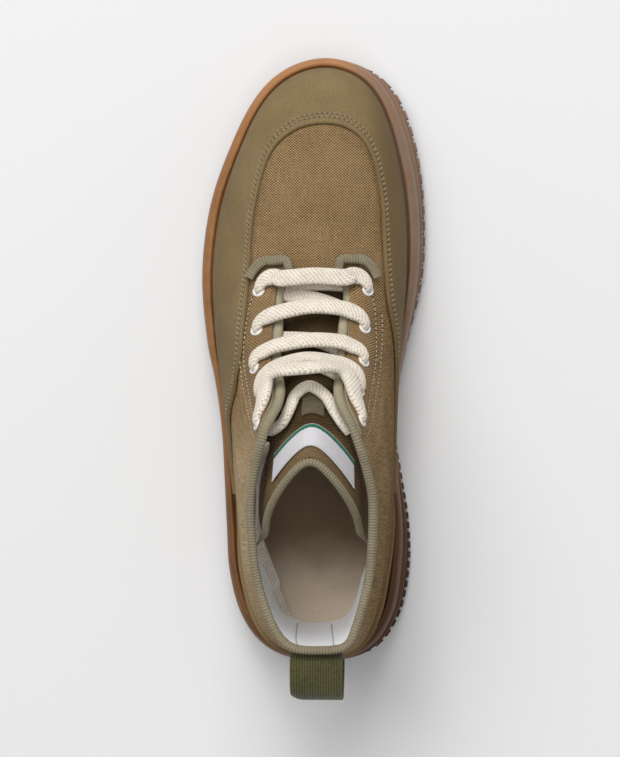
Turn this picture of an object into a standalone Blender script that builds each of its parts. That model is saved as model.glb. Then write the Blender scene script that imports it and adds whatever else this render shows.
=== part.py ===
"""Lace-up ankle boot for the left foot: canvas upper, toe guard, bound collar and lugged gum sole.

Metres, +Z up, toe towards +Y, the foot's inner (medial) side towards +X.
The boot stands on z = 0 and the origin lies under the middle of its bounding box.
Tables hold millimetres; a station counts sections from the heel, round the outer side
to the toe and back along the inner side.
"""

from collections import namedtuple
from math import cos, pi, radians, sin

import bmesh
import bpy
import numpy as np
from mathutils import Vector

MM = 0.001

# Driving sizes
WALL = 2.0 * MM
CLEARANCE = 0.3 * MM
OVERLAY_LIFT = 0.8 * MM
FACING_LIFT = 1.2 * MM
OVERLAY = 1.3 * MM
BINDING_RADIUS = 2.2 * MM
BINDING_CENTRE = -0.5 * MM
INSOLE_THICKNESS = 4.0 * MM
INSOLE_INSET = 3.2 * MM
TREAD_THICKNESS = 8.7 * MM
TREAD_GAP = 0.45 * MM
LUG_DEPTH = 3.6 * MM
LUG_NOTCH = 2.2 * MM
LUG_SLANT = 0.3 * MM
LACE_WIDTH = 8.4 * MM
LACE_THICKNESS = 1.9 * MM
LACE_LIFT = 1.1 * MM
EYELET_OUTER = 3.3 * MM
EYELET_INNER = 2.0 * MM
EYELET_HEIGHT = 0.9 * MM
LOOP_WIDTH = 25.0 * MM
LOOP_THICKNESS = 1.4 * MM
TONGUE_THICKNESS = 2.4 * MM
TONGUE_CENTRE = 3.8 * MM
TONGUE_BINDING_RADIUS = 1.8 * MM
LABEL_THICKNESS = 0.8 * MM
LACE_END_RADIUS = 1.8 * MM
CORD_RESOLUTION = 2
RIBBON_FLAT = 0.8
SMOOTH_ANGLE = radians(40)

# Steps over which slopes are measured, in stations and in shares of a rib,
# the longest step of a walk down the wall, and how finely a smooth line is read
STATION_STEP = 0.05
SHARE_STEP = 0.02
WALK_STEP = 1.5 * MM
FINE_STEPS = 400

# Each section is one rib of the upper on either side of the foot, from heel to toe.
# y, lateral, medial: where the wall leaves the sole.
# top_y, top_lateral, top_medial, top_z: where the wall ends, at collar, throat or vamp.
# flare_lateral, flare_medial, rise: how far the wall leans out and runs up from the sole.
# crown, drop: how far it runs out and down from its top edge.
# guard_lateral, guard_medial: share of the rib that the toe guard or heel counter covers.
Section = namedtuple(
    "Section",
    "name y lateral medial top_y top_lateral top_medial top_z"
    " flare_lateral flare_medial rise crown drop guard_lateral guard_medial",
)
SECTIONS = [
    Section("heel_back", -138.2, 2.3, 2.3, -132.3, 6.2, 6.2, 125.5, 7, 7, 30, 6, 40, 0.4, 0.4),
    Section("heel_curve", -133.4, -17.0, 21.8, -130.3, -7.0, 19.5, 125.5, 6, 6, 30, 5, 40, 0.4, 0.4),
    Section("heel_corner", -120.0, -28.2, 32.2, -120.0, -15.5, 25.0, 126.0, 5, 5, 30, 4, 40, 0.38, 0.38),
    Section("heel_side", -99.7, -34.4, 36.4, -100.0, -22.3, 30.3, 126.5, 3, 5, 30, 3, 40, 0.32, 0.32),
    Section("heel_breast", -77.7, -36.4, 37.6, -80.0, -25.0, 32.4, 130.5, 3, 7, 30, 3, 42, 0.24, 0.24),
    Section("waist_rear", -53.7, -38.6, 36.6, -60.0, -25.1, 32.5, 136.5, 3, 11, 30, 3, 45, 0.24, 0.22),
    Section("waist", -29.7, -41.0, 35.8, -44.5, -22.6, 29.5, 143.0, 3, 14, 30, 4, 45, 0.31, 0.22),
    Section("waist_front", -5.7, -43.8, 37.6, -28.0, -18.0, 24.3, 147.5, 3, 13, 30, 8, 42, 0.43, 0.25),
    Section("instep", 16.3, -46.4, 41.6, -13.5, -13.0, 18.3, 134.0, 3, 8, 29, 16, 30, 0.56, 0.33),
    Section("ball", 48.3, -47.9, 45.1, 3.5, -16.0, 18.5, 108.0, 3, 4, 27, 22, 20, 0.67, 0.49),
    Section("forefoot", 80.3, -44.0, 44.7, 22.0, -15.7, 19.2, 93.0, 3, 3, 26, 30, 20, 0.69, 0.55),
    Section("toe_shoulder", 108.3, -34.7, 40.0, 38.0, -15.3, 20.5, 82.0, 3, 3, 29, 42, 15, 0.64, 0.55),
    Section("toe_corner", 131.3, -23.2, 32.4, 45.0, -11.0, 17.0, 80.0, 3, 3, 31, 52, 13, 0.55, 0.515),
    Section("toe_curve", 143.8, -10.2, 22.0, 46.6, -4.0, 10.5, 80.5, 3, 3, 32, 56, 13, 0.515, 0.5),
    Section("toe_tip", 148.6, 6.3, 6.3, 47.0, 3.2, 3.2, 81.0, 3, 3, 32, 57, 13, 0.505, 0.505),
]
STATION = {section.name: index for index, section in enumerate(SECTIONS)}
TOE = len(SECTIONS) - 1
AROUND = 2 * TOE
SAMPLES_PER_SECTION = 2
WALL_ROWS = 10

# Height of the sole's top and of its tread along the foot
SoleLevel = namedtuple("SoleLevel", "y top tread")
SOLE_LEVELS = [
    SoleLevel(-155, 31.5, 1.0),
    SoleLevel(-136, 31.0, 0.0),
    SoleLevel(-100, 30.3, 0.0),
    SoleLevel(-58, 28.6, 0.0),
    SoleLevel(-20, 26.4, 4.0),
    SoleLevel(16, 24.8, 0.0),
    SoleLevel(60, 24.0, 0.0),
    SoleLevel(98, 25.0, 0.0),
    SoleLevel(128, 28.0, 3.0),
    SoleLevel(158, 33.5, 8.5),
]

# How far the sole's rim stands out from the upper, and its tread from the rim
SoleEdge = namedtuple("SoleEdge", "section rim_lateral rim_medial flare_lateral flare_medial")
SOLE_EDGES = [
    SoleEdge("heel_back", 8.1, 8.1, 0.0, 0.0),
    SoleEdge("heel_curve", 8.0, 8.5, 0.2, 3.0),
    SoleEdge("heel_corner", 8.0, 8.0, 0.4, 4.0),
    SoleEdge("heel_side", 7.4, 7.6, 0.4, 4.6),
    SoleEdge("heel_breast", 6.8, 7.2, 0.4, 3.6),
    SoleEdge("waist", 4.9, 5.0, 0.2, 0.4),
    SoleEdge("waist_front", 5.4, 5.4, 0.2, 0.4),
    SoleEdge("instep", 7.2, 5.8, 0.4, 0.6),
    SoleEdge("ball", 8.1, 7.7, 0.4, 2.6),
    SoleEdge("forefoot", 8.2, 8.3, 0.4, 3.2),
    SoleEdge("toe_shoulder", 7.9, 8.2, 0.3, 4.6),
    SoleEdge("toe_corner", 7.6, 8.0, 0.2, 4.4),
    SoleEdge("toe_tip", 7.3, 7.3, 0.0, 0.0),
]

# Side of the midsole from its lip down: share of rim, share of flare, depth below the sole's top
SideStep = namedtuple("SideStep", "rim flare depth")
SIDE_STEPS = [
    SideStep(0.34, 0.0, 0.0),
    SideStep(0.36, 0.0, -1.4),
    SideStep(0.58, 0.0, -2.0),
    SideStep(0.86, 0.0, -0.4),
    SideStep(1.00, 0.0, 3.2),
    SideStep(1.00, 0.1, 7.6),
    SideStep(0.87, 0.1, 8.6),
    SideStep(0.92, 0.5, 10.0),
]
LOWER_BAND = SideStep(1.0, 0.55, 0.0)

# Lugs run across the tread: length of each bar along the foot, and the gap ahead of it
Lug = namedtuple("Lug", "bar gap")
HEEL_LUG = Lug(3.2, 1.8)
FOREFOOT_LUG = Lug(5.2, 2.8)
HEEL_LUGS_END = -28.0 * MM
SHORTEST_LUG = 1.0 * MM
TREAD_END = 0.8 * MM
TREAD_SAMPLES = 16

# Facing on either side of the throat: how deep it reaches, square to the top edge, at each station
FacingDepth = namedtuple("FacingDepth", "station depth")
FACING = [
    FacingDepth(6.70, 9.0),
    FacingDepth(7.25, 14.0),
    FacingDepth(8.00, 18.5),
    FacingDepth(9.00, 18.6),
    FacingDepth(10.00, 16.6),
    FacingDepth(10.80, 13.0),
    FacingDepth(11.20, 11.5),
    FacingDepth(11.50, 10.2),
    FacingDepth(11.75, 8.6),
    FacingDepth(11.95, 6.0),
]
FACING_EDGE = 1.0 * MM
FACING_CORNER = 11.28
FACING_REAR_END = 10.98
FACING_REAR_COLUMNS = 9
FACING_ROWS = 4
MEDIAL_SHIFT = 0.12

# The binding's turn from the facing's front corner, over the vamp, to the throat edge
BindingTurn = namedtuple("BindingTurn", "station inset lift")
BINDING_TURN = [
    BindingTurn(12.28, 6.5, 2.9),
    BindingTurn(12.38, 2.5, 3.2),
    BindingTurn(12.30, -1.0, 3.7),
    BindingTurn(12.08, -3.2, 2.0),
]
BINDING_JOIN = 0.15
BINDING_FRONT_SAMPLES = 6
BINDING_RIM_SAMPLES = 70
BINDING_POINTS = 76

# Eyelets stand evenly along the throat edge, at one distance from it
EYELET_PAIRS = 5
EYELET_INSET = 7.8 * MM
LOWEST_EYELET = 10.9
TOP_EYELET = 7.36
EYELET_BASE = FACING_LIFT + OVERLAY + CLEARANCE + 0.1 * MM
EYELET_BEVEL = 0.4 * MM
EYELET_SIDES = 10

# Tongue from the vamp up: middle of each row, half width, and how far its sides fall back and down
TongueRow = namedtuple("TongueRow", "y z half back drop")
TONGUE = [
    TongueRow(52, 70, 15, -4, 5),
    TongueRow(40, 78.2, 17, 1, 6),
    TongueRow(22, 90.2, 19, 4, 9),
    TongueRow(4, 105.5, 20, 8, 11),
    TongueRow(-11, 122, 22, 15, 14),
    TongueRow(-24, 136, 22.5, 24, 18),
    TongueRow(-34, 149, 23.2, 32, 24),
    TongueRow(-40, 157, 23.2, 35, 32),
]
TONGUE_TOP = len(TONGUE) - 1
TONGUE_PEAK = 0.58
PEAK_ROUND = 0.02
TONGUE_ACROSS = 12
TONGUE_ROWS = 12
TONGUE_EDGE_POINTS = 21

# Label on the tongue: the tongue rows it spans and its two sides
LABEL_ROWS = (5.1, 5.7, 6.3)
LABEL_SIDES = (-0.46, 0.62)
LABEL_ACROSS = 8

# Where the toe guard ends on either side, and the heel counter ahead of the heel
GUARD_END = 4.7
GUARD_FOOT = 0.03
GUARD_ROWS = 5
COUNTER_END = 4.5
COUNTER_ROWS = 4

# Points along each lace bar, and how far its middle stands out
BAR_POINTS = 13
BAR_ARCH = 2.0 * MM
BAR_AHEAD = 0.28
LOWEST_BAR_RISE = 2.2 * MM
BAR_END_WIDTH = 0.5
BAR_TAPER = 4.0

# Run of lace on the tongue: how far it reaches to either side, the tongue row of its middle,
# and how many rows higher its ends would lie at the tongue's sides
INNER_RUN_SIDE = 0.52
INNER_RUN_ROW = 3.85
INNER_RUN_RISE = 3.0

# Pull loop seen from the side: its closed middle line behind the heel
LoopPoint = namedtuple("LoopPoint", "y z")
PULL_LOOP = [
    LoopPoint(-134.6, 121.5),
    LoopPoint(-140.0, 125.5),
    LoopPoint(-147.5, 125.0),
    LoopPoint(-153.2, 121.5),
    LoopPoint(-155.2, 116.0),
    LoopPoint(-153.0, 109.0),
    LoopPoint(-147.5, 102.0),
    LoopPoint(-141.5, 97.5),
    LoopPoint(-137.6, 98.0),
    LoopPoint(-136.3, 106.0),
    LoopPoint(-135.2, 114.0),
]
LOOP_CENTRE = 5.5 * MM

# Tucked lace end: from the top outer eyelet's inside, down the wall and along the insole
CordPoint = namedtuple("CordPoint", "x y z")
LACE_END = [
    CordPoint(-18.0, -35.5, 134),
    CordPoint(-20.6, -43.0, 122),
    CordPoint(-22.8, -51.0, 102),
    CordPoint(-25.0, -61.0, 76),
    CordPoint(-26.5, -74.0, 54),
    CordPoint(-26.0, -87.0, 41.5),
    CordPoint(-22.5, -99.0, 37.4),
    CordPoint(-18.0, -109.5, 36.9),
    CordPoint(-12.0, -122.5, 37.0),
]
LACE_END_POINTS = 26


# Interpolation


def cubic_rows(rows, at, periodic):
    """Rows of a table read at a fractional row number, smooth through every row."""
    count = len(rows)
    low = int(np.floor(at))
    share = at - low
    near = [low - 1, low, low + 1, low + 2]
    if periodic:
        near = [index % count for index in near]
    else:
        near = [min(max(index, 0), count - 1) for index in near]
    before, start, end, after = (rows[index] for index in near)
    return 0.5 * (
        2 * start
        + (end - before) * share
        + (2 * before - 5 * start + 4 * end - after) * share**2
        + (3 * start - before - 3 * end + after) * share**3
    )


def flat_safe(xs, values, x):
    """Smooth reading between table rows that never overshoots, so level runs stay level."""
    x = min(max(x, xs[0]), xs[-1])
    low = min(int(np.searchsorted(xs, x, side="right")) - 1, len(xs) - 2)
    rise = np.diff(values) / np.diff(xs)

    def slope(index):
        if index == 0 or index == len(xs) - 1:
            return rise[min(index, len(rise) - 1)]
        before, after = rise[index - 1], rise[index]
        return 0.0 if before * after <= 0 else 2 * before * after / (before + after)

    span = xs[low + 1] - xs[low]
    s = (x - xs[low]) / span
    return (
        values[low] * (1 - s) ** 2 * (1 + 2 * s)
        + values[low + 1] * s**2 * (3 - 2 * s)
        + span * slope(low) * s * (1 - s) ** 2
        - span * slope(low + 1) * s**2 * (1 - s)
    )


def table_at(table, x, column):
    """One column of a table, in metres, at a place along the table's first column."""
    xs = np.array([row[0] for row in table], float)
    values = np.array([getattr(row, column) for row in table], float)
    return flat_safe(xs, values, x) * MM


def smooth_path(points, count):
    """Points at even steps along a smooth open line through a few given points."""
    rows = np.array(points, float)
    fine = np.array([cubic_rows(rows, at, False) for at in np.linspace(0, len(rows) - 1, FINE_STEPS)])
    travelled = np.concatenate([[0], np.cumsum(np.linalg.norm(np.diff(fine, axis=0), axis=1))])
    steps = np.linspace(0, travelled[-1], count)
    return np.column_stack([np.interp(steps, travelled, fine[:, axis]) for axis in range(3)])


def unit(vector):
    return vector / np.linalg.norm(vector)


# The upper's own function


def side_row(section, medial):
    """One section's numbers for one side of the foot."""
    return [
        section.medial if medial else section.lateral,
        section.y,
        section.top_medial if medial else section.top_lateral,
        section.top_y,
        section.top_z,
        section.flare_medial if medial else section.flare_lateral,
        section.rise,
        section.crown,
        section.drop,
        (section.guard_medial if medial else section.guard_lateral) / MM,
    ]


STATION_LOOP = MM * np.array(
    [side_row(section, False) for section in SECTIONS]
    + [side_row(section, True) for section in SECTIONS[TOE - 1 : 0 : -1]]
)


def edge_loop():
    """Rim and flare of the sole at every station, once round the boot."""
    known = [STATION[edge.section] for edge in SOLE_EDGES]

    def column(name):
        return np.interp(range(TOE + 1), known, [getattr(edge, name) for edge in SOLE_EDGES])

    lateral = np.column_stack([column("rim_lateral"), column("flare_lateral")])
    medial = np.column_stack([column("rim_medial"), column("flare_medial")])
    return MM * np.vstack([lateral, medial[TOE - 1 : 0 : -1]])


EDGE_LOOP = edge_loop()


def sole_top(y):
    return table_at(SOLE_LEVELS, y / MM, "top")


def sole_tread(y):
    return table_at(SOLE_LEVELS, y / MM, "tread")


def feather(station, outward=0.0):
    """Point where upper meets sole, moved outward in plan, and the outward direction there."""
    here = cubic_rows(STATION_LOOP, station, True)[:2]
    ahead = cubic_rows(STATION_LOOP, station + STATION_STEP, True)
    along = ahead - cubic_rows(STATION_LOOP, station - STATION_STEP, True)
    normal = unit(np.array([-along[1], along[0]]))
    return here + normal * outward, normal


def wall_point(station, share):
    """Point of the upper's outer face: share 0 is at the sole and 1 at the top edge."""
    row = cubic_rows(STATION_LOOP, station, True)
    foot_xy, normal = feather(station)
    foot = np.array([*foot_xy, sole_top(foot_xy[1]) + CLEARANCE])
    top = row[[2, 3, 4]]
    flare, rise, crown, drop = row[5:9]
    toward = unit(foot[:2] - top[:2])
    low = foot + np.array([*(normal * flare), rise])
    high = top + np.array([*(toward * crown), -drop])
    rest = 1 - share
    return rest**3 * foot + 3 * rest**2 * share * low + 3 * rest * share**2 * high + share**3 * top


def round_wall(station, share):
    """How the upper's outer face runs on round the boot, for each station."""
    ahead = wall_point(station + STATION_STEP, share)
    return (ahead - wall_point(station - STATION_STEP, share)) / (2 * STATION_STEP)


def up_wall(station, share):
    """How the upper's outer face runs up its rib, for the whole rib."""
    low = max(share - SHARE_STEP, 0.0)
    high = min(share + SHARE_STEP, 1.0)
    return (wall_point(station, high) - wall_point(station, low)) / (high - low)


def wall_normal(station, share):
    """Unit direction out of the upper's outer face."""
    return unit(np.cross(up_wall(station, share), round_wall(station, share)))


def edge_out(station):
    """Unit direction in which the wall runs out past its top edge, square to that edge."""
    up = up_wall(station, 1.0)
    edge = unit(round_wall(station, 1.0))
    return unit(up - edge * np.dot(up, edge))


def on_wall(station, share, lift):
    return wall_point(station, share) + wall_normal(station, share) * lift


def square_walk(station, distance):
    """Station and share reached by walking down the wall, square to its top edge."""
    share = 1.0
    heading = -edge_out(station)
    steps = max(int(np.ceil(distance / WALK_STEP)), 1)
    for _ in range(steps):
        around = round_wall(station, share)
        up = up_wall(station, share)
        normal = unit(np.cross(up, around))
        heading = unit(heading - normal * np.dot(heading, normal))
        move = np.linalg.lstsq(np.column_stack([around, up]), heading * distance / steps, rcond=None)[0]
        station += move[0]
        share += move[1]
    return station, share


def guard_share(station):
    return cubic_rows(STATION_LOOP, station, True)[9]


def stations(first, last):
    count = int(round((last - first) * SAMPLES_PER_SECTION))
    return np.linspace(first, last, count + 1)


# Meshes and objects


def material(name, colour, roughness, metallic=0.0):
    made = bpy.data.materials.new(name)
    made.use_nodes = True
    shader = made.node_tree.nodes["Principled BSDF"]
    shader.inputs["Base Color"].default_value = (*colour, 1.0)
    shader.inputs["Roughness"].default_value = roughness
    shader.inputs["Metallic"].default_value = metallic
    return made


def mesh_from(name, work, closed):
    """Finished mesh of a bmesh; a closed body gets its faces turned outward."""
    if closed:
        bmesh.ops.recalc_face_normals(work, faces=work.faces)
    mesh = bpy.data.meshes.new(name)
    work.to_mesh(mesh)
    work.free()
    mesh.shade_smooth()
    mesh.set_sharp_from_angle(angle=SMOOTH_ANGLE)
    return mesh


def sheet(name, grid, wrap):
    """Open sheet of quads over a grid whose rows run up and whose columns run round the boot."""
    work = bmesh.new()
    rows = [[work.verts.new(point) for point in row] for row in grid]
    columns = len(rows[0])
    for low, high in zip(rows, rows[1:]):
        for index in range(columns if wrap else columns - 1):
            after = (index + 1) % columns
            work.faces.new((low[index], high[index], high[after], low[after]))
    return mesh_from(name, work, closed=False)


def strips(work, ring):
    """Closes a ring that runs heel, outer side, toe, inner side with strips across the foot."""
    half = len(ring) // 2
    for index in range(half):
        corners = [ring[index], ring[index + 1], ring[-index - 1], ring[-index] if index else ring[0]]
        unique = list(dict.fromkeys(corners))
        work.faces.new(unique)


def loft(name, rings, closed_path=False, crossed=False):
    """Closed body through rings of points, ended by caps, by strips or by meeting itself."""
    work = bmesh.new()
    rows = [[work.verts.new(point) for point in ring] for ring in rings]
    pairs = list(zip(rows, rows[1:]))
    if closed_path:
        pairs.append((rows[-1], rows[0]))
    for first, second in pairs:
        for index in range(len(first)):
            after = (index + 1) % len(first)
            work.faces.new((first[index], first[after], second[after], second[index]))
    if crossed:
        strips(work, rows[0])
        strips(work, rows[-1])
    elif not closed_path:
        work.faces.new(rows[0])
        work.faces.new(rows[-1])
    return mesh_from(name, work, closed=True)


def ribbon(path, normals, widths, thickness):
    """Rings of a flat strip along a path; normals point out of its broad face."""
    along = np.gradient(path, axis=0)
    rings = []
    for place, direction, normal, width in zip(path, along, normals, widths):
        across = unit(np.cross(direction, normal)) * width / 2
        out = unit(np.cross(across, direction)) * thickness / 2
        rings.append(
            [
                place - across,
                place - across * RIBBON_FLAT + out,
                place + across * RIBBON_FLAT + out,
                place + across,
                place + across * RIBBON_FLAT - out,
                place - across * RIBBON_FLAT - out,
            ]
        )
    return rings


class Maker:
    """Adds the boot's objects to its collection, each with its own look."""

    def __init__(self, collection, parent):
        self.collection = collection
        self.parent = parent

    def add(self, name, data, look):
        made = bpy.data.objects.new(name, data)
        self.collection.objects.link(made)
        made.parent = self.parent
        data.materials.append(look)
        return made

    def shell(self, name, grid, look, thickness, outward, wrap=False):
        """Sheet with a wall thickness on its outer or its inner side."""
        made = self.add(name, sheet(name, grid, wrap), look)
        solid = made.modifiers.new("wall", "SOLIDIFY")
        solid.thickness = thickness
        solid.offset = 1.0 if outward else -1.0
        return made

    def tube(self, name, points, look, radius):
        """Round cord with filled ends along a line of points."""
        data = bpy.data.curves.new(name, "CURVE")
        data.dimensions = "3D"
        data.bevel_depth = radius
        data.bevel_resolution = CORD_RESOLUTION
        data.use_fill_caps = True
        spline = data.splines.new("POLY")
        spline.points.add(len(points) - 1)
        for target, point in zip(spline.points, points):
            target.co = (*point, 1.0)
        return self.add(name, data, look)


# Sole


def sole_ring(step, height):
    """One line round the side of the sole."""
    ring = []
    for station in stations(0, AROUND)[:-1]:
        rim, flare = cubic_rows(EDGE_LOOP, station, True)
        (x, y), _ = feather(station, step.rim * rim + step.flare * flare)
        ring.append((x, y, height(y)))
    return ring


def midsole_mesh():
    rings = []
    for step in SIDE_STEPS:
        rings.append(sole_ring(step, lambda y, depth=step.depth * MM: sole_top(y) - depth))
    rings.append(sole_ring(LOWER_BAND, lambda y: sole_tread(y) + TREAD_THICKNESS + TREAD_GAP))
    return loft("midsole", rings, crossed=True)


def tread_sides():
    """The tread's outer and inner edge as tables of x against y."""
    points = []
    for station in np.linspace(0, AROUND, TREAD_SAMPLES * AROUND + 1):
        rim, flare = cubic_rows(EDGE_LOOP, station, True)
        points.append(feather(station, rim + flare)[0])
    points = np.array(points)
    half = TREAD_SAMPLES * TOE
    return points[: half + 1], points[half:][::-1]


def outsole_mesh():
    lateral, medial = tread_sides()
    rear = lateral[0][1] + TREAD_END
    front = lateral[-1][1] - TREAD_END
    slices = []

    def cut(y, raised, notch):
        y = min(y, front)
        left = np.interp(y, lateral[:, 1], lateral[:, 0]) + notch
        right = np.interp(y, medial[:, 1], medial[:, 0]) - notch
        low = sole_tread(y) + raised
        high = sole_tread(y) + TREAD_THICKNESS
        slices.append([(left, y, low), (right, y, low), (right, y, high), (left, y, high)])

    y = rear
    while y < front - SHORTEST_LUG:
        lug = HEEL_LUG if y < HEEL_LUGS_END else FOREFOOT_LUG
        cut(y, 0.0, 0.0)
        cut(y + lug.bar * MM, 0.0, 0.0)
        y += (lug.bar + lug.gap) * MM
        if y < front - SHORTEST_LUG:
            cut(y - lug.gap * MM + LUG_SLANT, LUG_DEPTH, LUG_NOTCH)
            cut(y - LUG_SLANT, LUG_DEPTH, LUG_NOTCH)
    return loft("outsole", slices)


def insole_mesh():
    def ring(raise_by):
        points = []
        for station in stations(0, AROUND)[:-1]:
            (x, y), _ = feather(station, -INSOLE_INSET)
            points.append((x, y, sole_top(y) + CLEARANCE + raise_by))
        return points

    return loft("insole", [ring(0.0), ring(INSOLE_THICKNESS)], crossed=True)


# Upper and what is sewn to it


def upper_grid():
    around = stations(0, AROUND)[:-1]
    shares = np.linspace(0, 1, WALL_ROWS + 1)
    return [[wall_point(station, share) for station in around] for share in shares]


def guard_grid(first, last, rows):
    around = stations(first, last)
    return [
        [
            on_wall(station, GUARD_FOOT + (guard_share(station) - GUARD_FOOT) * row / rows, OVERLAY_LIFT)
            for station in around
        ]
        for row in range(rows + 1)
    ]


def on_side(station, medial):
    """Station on the chosen side of the foot for a place given on the outer side."""
    return AROUND - station - MEDIAL_SHIFT if medial else station


def from_edge(station, medial, inset, lift):
    """Point over the wall at a distance from the throat edge."""
    return on_wall(*square_walk(on_side(station, medial), inset), lift)


def facing_depth(station):
    rows = np.array(FACING)
    return flat_safe(rows[:, 0], rows[:, 1], station) * MM


def facing_grid(medial):
    """Facing grid with columns in the same turning sense as the upper's own."""
    front = [row.station for row in FACING if row.station > FACING_CORNER]
    around = [*np.linspace(FACING[0].station, FACING_REAR_END, FACING_REAR_COLUMNS), *front]
    grid = []
    for row in range(FACING_ROWS + 1):
        line = []
        for station in around:
            inset = FACING_EDGE + (facing_depth(station) - FACING_EDGE) * (1 - row / FACING_ROWS)
            line.append(from_edge(station, medial, inset, FACING_LIFT))
        grid.append(line[::-1] if medial else line)
    return grid


def binding_corner(medial):
    """Binding line along a facing's front, from its outer corner over the vamp to the throat edge."""
    ahead = BINDING_RADIUS + 5 * CLEARANCE
    lift = BINDING_RADIUS + 2 * CLEARANCE
    line = []
    for station in np.linspace(FACING_CORNER, FACING[-1].station, BINDING_FRONT_SAMPLES):
        line.append(from_edge(station, medial, facing_depth(station) + ahead, lift))
    for turn in BINDING_TURN:
        edge = on_side(turn.station, medial)
        if turn.inset > 0:
            line.append(from_edge(turn.station, medial, turn.inset * MM, turn.lift * MM))
        else:
            line.append(on_wall(edge, 1.0, turn.lift * MM) - edge_out(edge) * turn.inset * MM)
    return line


def binding_path():
    raised = BINDING_RADIUS + 3 * CLEARANCE
    last = FACING[-1].station - BINDING_JOIN
    rim = []
    for station in np.linspace(last, MEDIAL_SHIFT - last, BINDING_RIM_SAMPLES):
        rim.append(on_wall(station, 1.0, BINDING_CENTRE) + edge_out(station) * raised)
    points = binding_corner(False) + rim + binding_corner(True)[::-1]
    return smooth_path(points, BINDING_POINTS)


# Tongue


def peaked(fall):
    """How far back the tongue's sides lie, so that its top edge comes to a rounded peak."""
    lowest = PEAK_ROUND**TONGUE_PEAK
    return ((fall + PEAK_ROUND) ** TONGUE_PEAK - lowest) / ((1 + PEAK_ROUND) ** TONGUE_PEAK - lowest)


def tongue_point(along, across, lift=0.0):
    """Point of the tongue's front face: along counts rows, across runs from -1 to 1."""

    def place(at_row, at_side):
        row = MM * cubic_rows(np.array(TONGUE, float), at_row, False)
        y, z, half, back, drop = row
        turn = at_side * pi / 2
        fall = 1 - cos(turn)
        return np.array([TONGUE_CENTRE + half * sin(turn), y - back * peaked(fall), z - drop * fall])

    here = place(along, across)
    if lift == 0.0:
        return here
    step = STATION_STEP
    up = place(min(along + step, TONGUE_TOP), across) - place(max(along - step, 0), across)
    side = place(along, across + step) - place(along, across - step)
    return here + unit(np.cross(up, side)) * lift


def tongue_grid():
    sides = np.linspace(-1, 1, TONGUE_ACROSS + 1)
    rows = np.linspace(0, TONGUE_TOP, TONGUE_ROWS + 1)
    return [[tongue_point(along, side) for side in sides] for along in rows]


def label_grid():
    sides = np.linspace(*LABEL_SIDES, LABEL_ACROSS + 1)
    return [[tongue_point(row, side, OVERLAY_LIFT) for side in sides] for row in LABEL_ROWS]


def tongue_edge():
    raised = TONGUE_BINDING_RADIUS + 3 * CLEARANCE
    points = []
    for side in np.linspace(-1, 1, TONGUE_EDGE_POINTS):
        front = tongue_point(TONGUE_TOP, side)
        up = unit(front - tongue_point(TONGUE_TOP - STATION_STEP, side))
        inner = (front + tongue_point(TONGUE_TOP, side, -TONGUE_THICKNESS)) / 2
        points.append(inner + up * raised)
    return points


# Eyelets and lace


def eyelet_stations():
    """Edge stations of the eyelets, evenly spaced along the throat edge."""
    fine = np.linspace(LOWEST_EYELET, TOP_EYELET, FINE_STEPS)
    points = np.array([wall_point(station, 1.0) for station in fine])
    travelled = np.concatenate([[0], np.cumsum(np.linalg.norm(np.diff(points, axis=0), axis=1))])
    return np.interp(np.linspace(0, travelled[-1], EYELET_PAIRS), travelled, fine)


def eyelet_mesh(name):
    profile = [
        (EYELET_INNER, 0.0),
        (EYELET_OUTER, 0.0),
        (EYELET_OUTER - EYELET_BEVEL, EYELET_HEIGHT),
        (EYELET_INNER, EYELET_HEIGHT),
    ]
    rings = []
    for index in range(EYELET_SIDES):
        turn = 2 * pi * index / EYELET_SIDES
        rings.append([(radius * cos(turn), radius * sin(turn), z) for radius, z in profile])
    return loft(name, rings, closed_path=True)


def add_eyelets(maker, look):
    for level, station in enumerate(eyelet_stations(), start=1):
        for medial, side in ((False, "lateral"), (True, "medial")):
            name = f"eyelet_{side}_{level}"
            made = maker.add(name, eyelet_mesh(name), look)
            place = square_walk(on_side(station, medial), EYELET_INSET)
            made.location = on_wall(*place, EYELET_BASE)
            made.rotation_mode = "QUATERNION"
            made.rotation_quaternion = Vector((0, 0, 1)).rotation_difference(Vector(wall_normal(*place)))


def bar_side(station, medial, rise):
    """Lace from an eyelet over the facing and the binding: points and the directions out of them."""
    half = LACE_THICKNESS / 2
    edge = on_side(station + BAR_AHEAD, medial)
    eyelet = square_walk(on_side(station, medial), EYELET_INSET)
    middle = square_walk(on_side(station + BAR_AHEAD / 2, medial), EYELET_INSET / 2)
    over_binding = 2 * BINDING_RADIUS + CLEARANCE + half + rise
    points = [
        on_wall(*eyelet, EYELET_BASE + EYELET_HEIGHT + LACE_LIFT + half),
        on_wall(*middle, EYELET_BASE + EYELET_HEIGHT + LACE_LIFT + half),
        wall_point(edge, 1.0)
        + edge_out(edge) * BINDING_RADIUS
        + wall_normal(edge, 1.0) * over_binding,
    ]
    normals = [wall_normal(*eyelet), wall_normal(*middle), wall_normal(edge, 1.0)]
    return points, normals


def bar_mesh(name, station, rise):
    points, normals = bar_side(station, False, rise)
    far_points, far_normals = bar_side(station, True, rise)
    out = unit(normals[-1] + far_normals[-1])
    centre = (points[-1] + far_points[-1]) / 2 + out * BAR_ARCH
    path = smooth_path([*points, centre, *far_points[::-1]], BAR_POINTS)
    turned = smooth_path([*normals, out, *far_normals[::-1]], BAR_POINTS)
    reach = np.linspace(0, 1, BAR_POINTS)
    shares = np.minimum(BAR_END_WIDTH + BAR_TAPER * np.minimum(reach, 1 - reach), 1.0)
    return loft(name, ribbon(path, turned, LACE_WIDTH * shares, LACE_THICKNESS))


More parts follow.
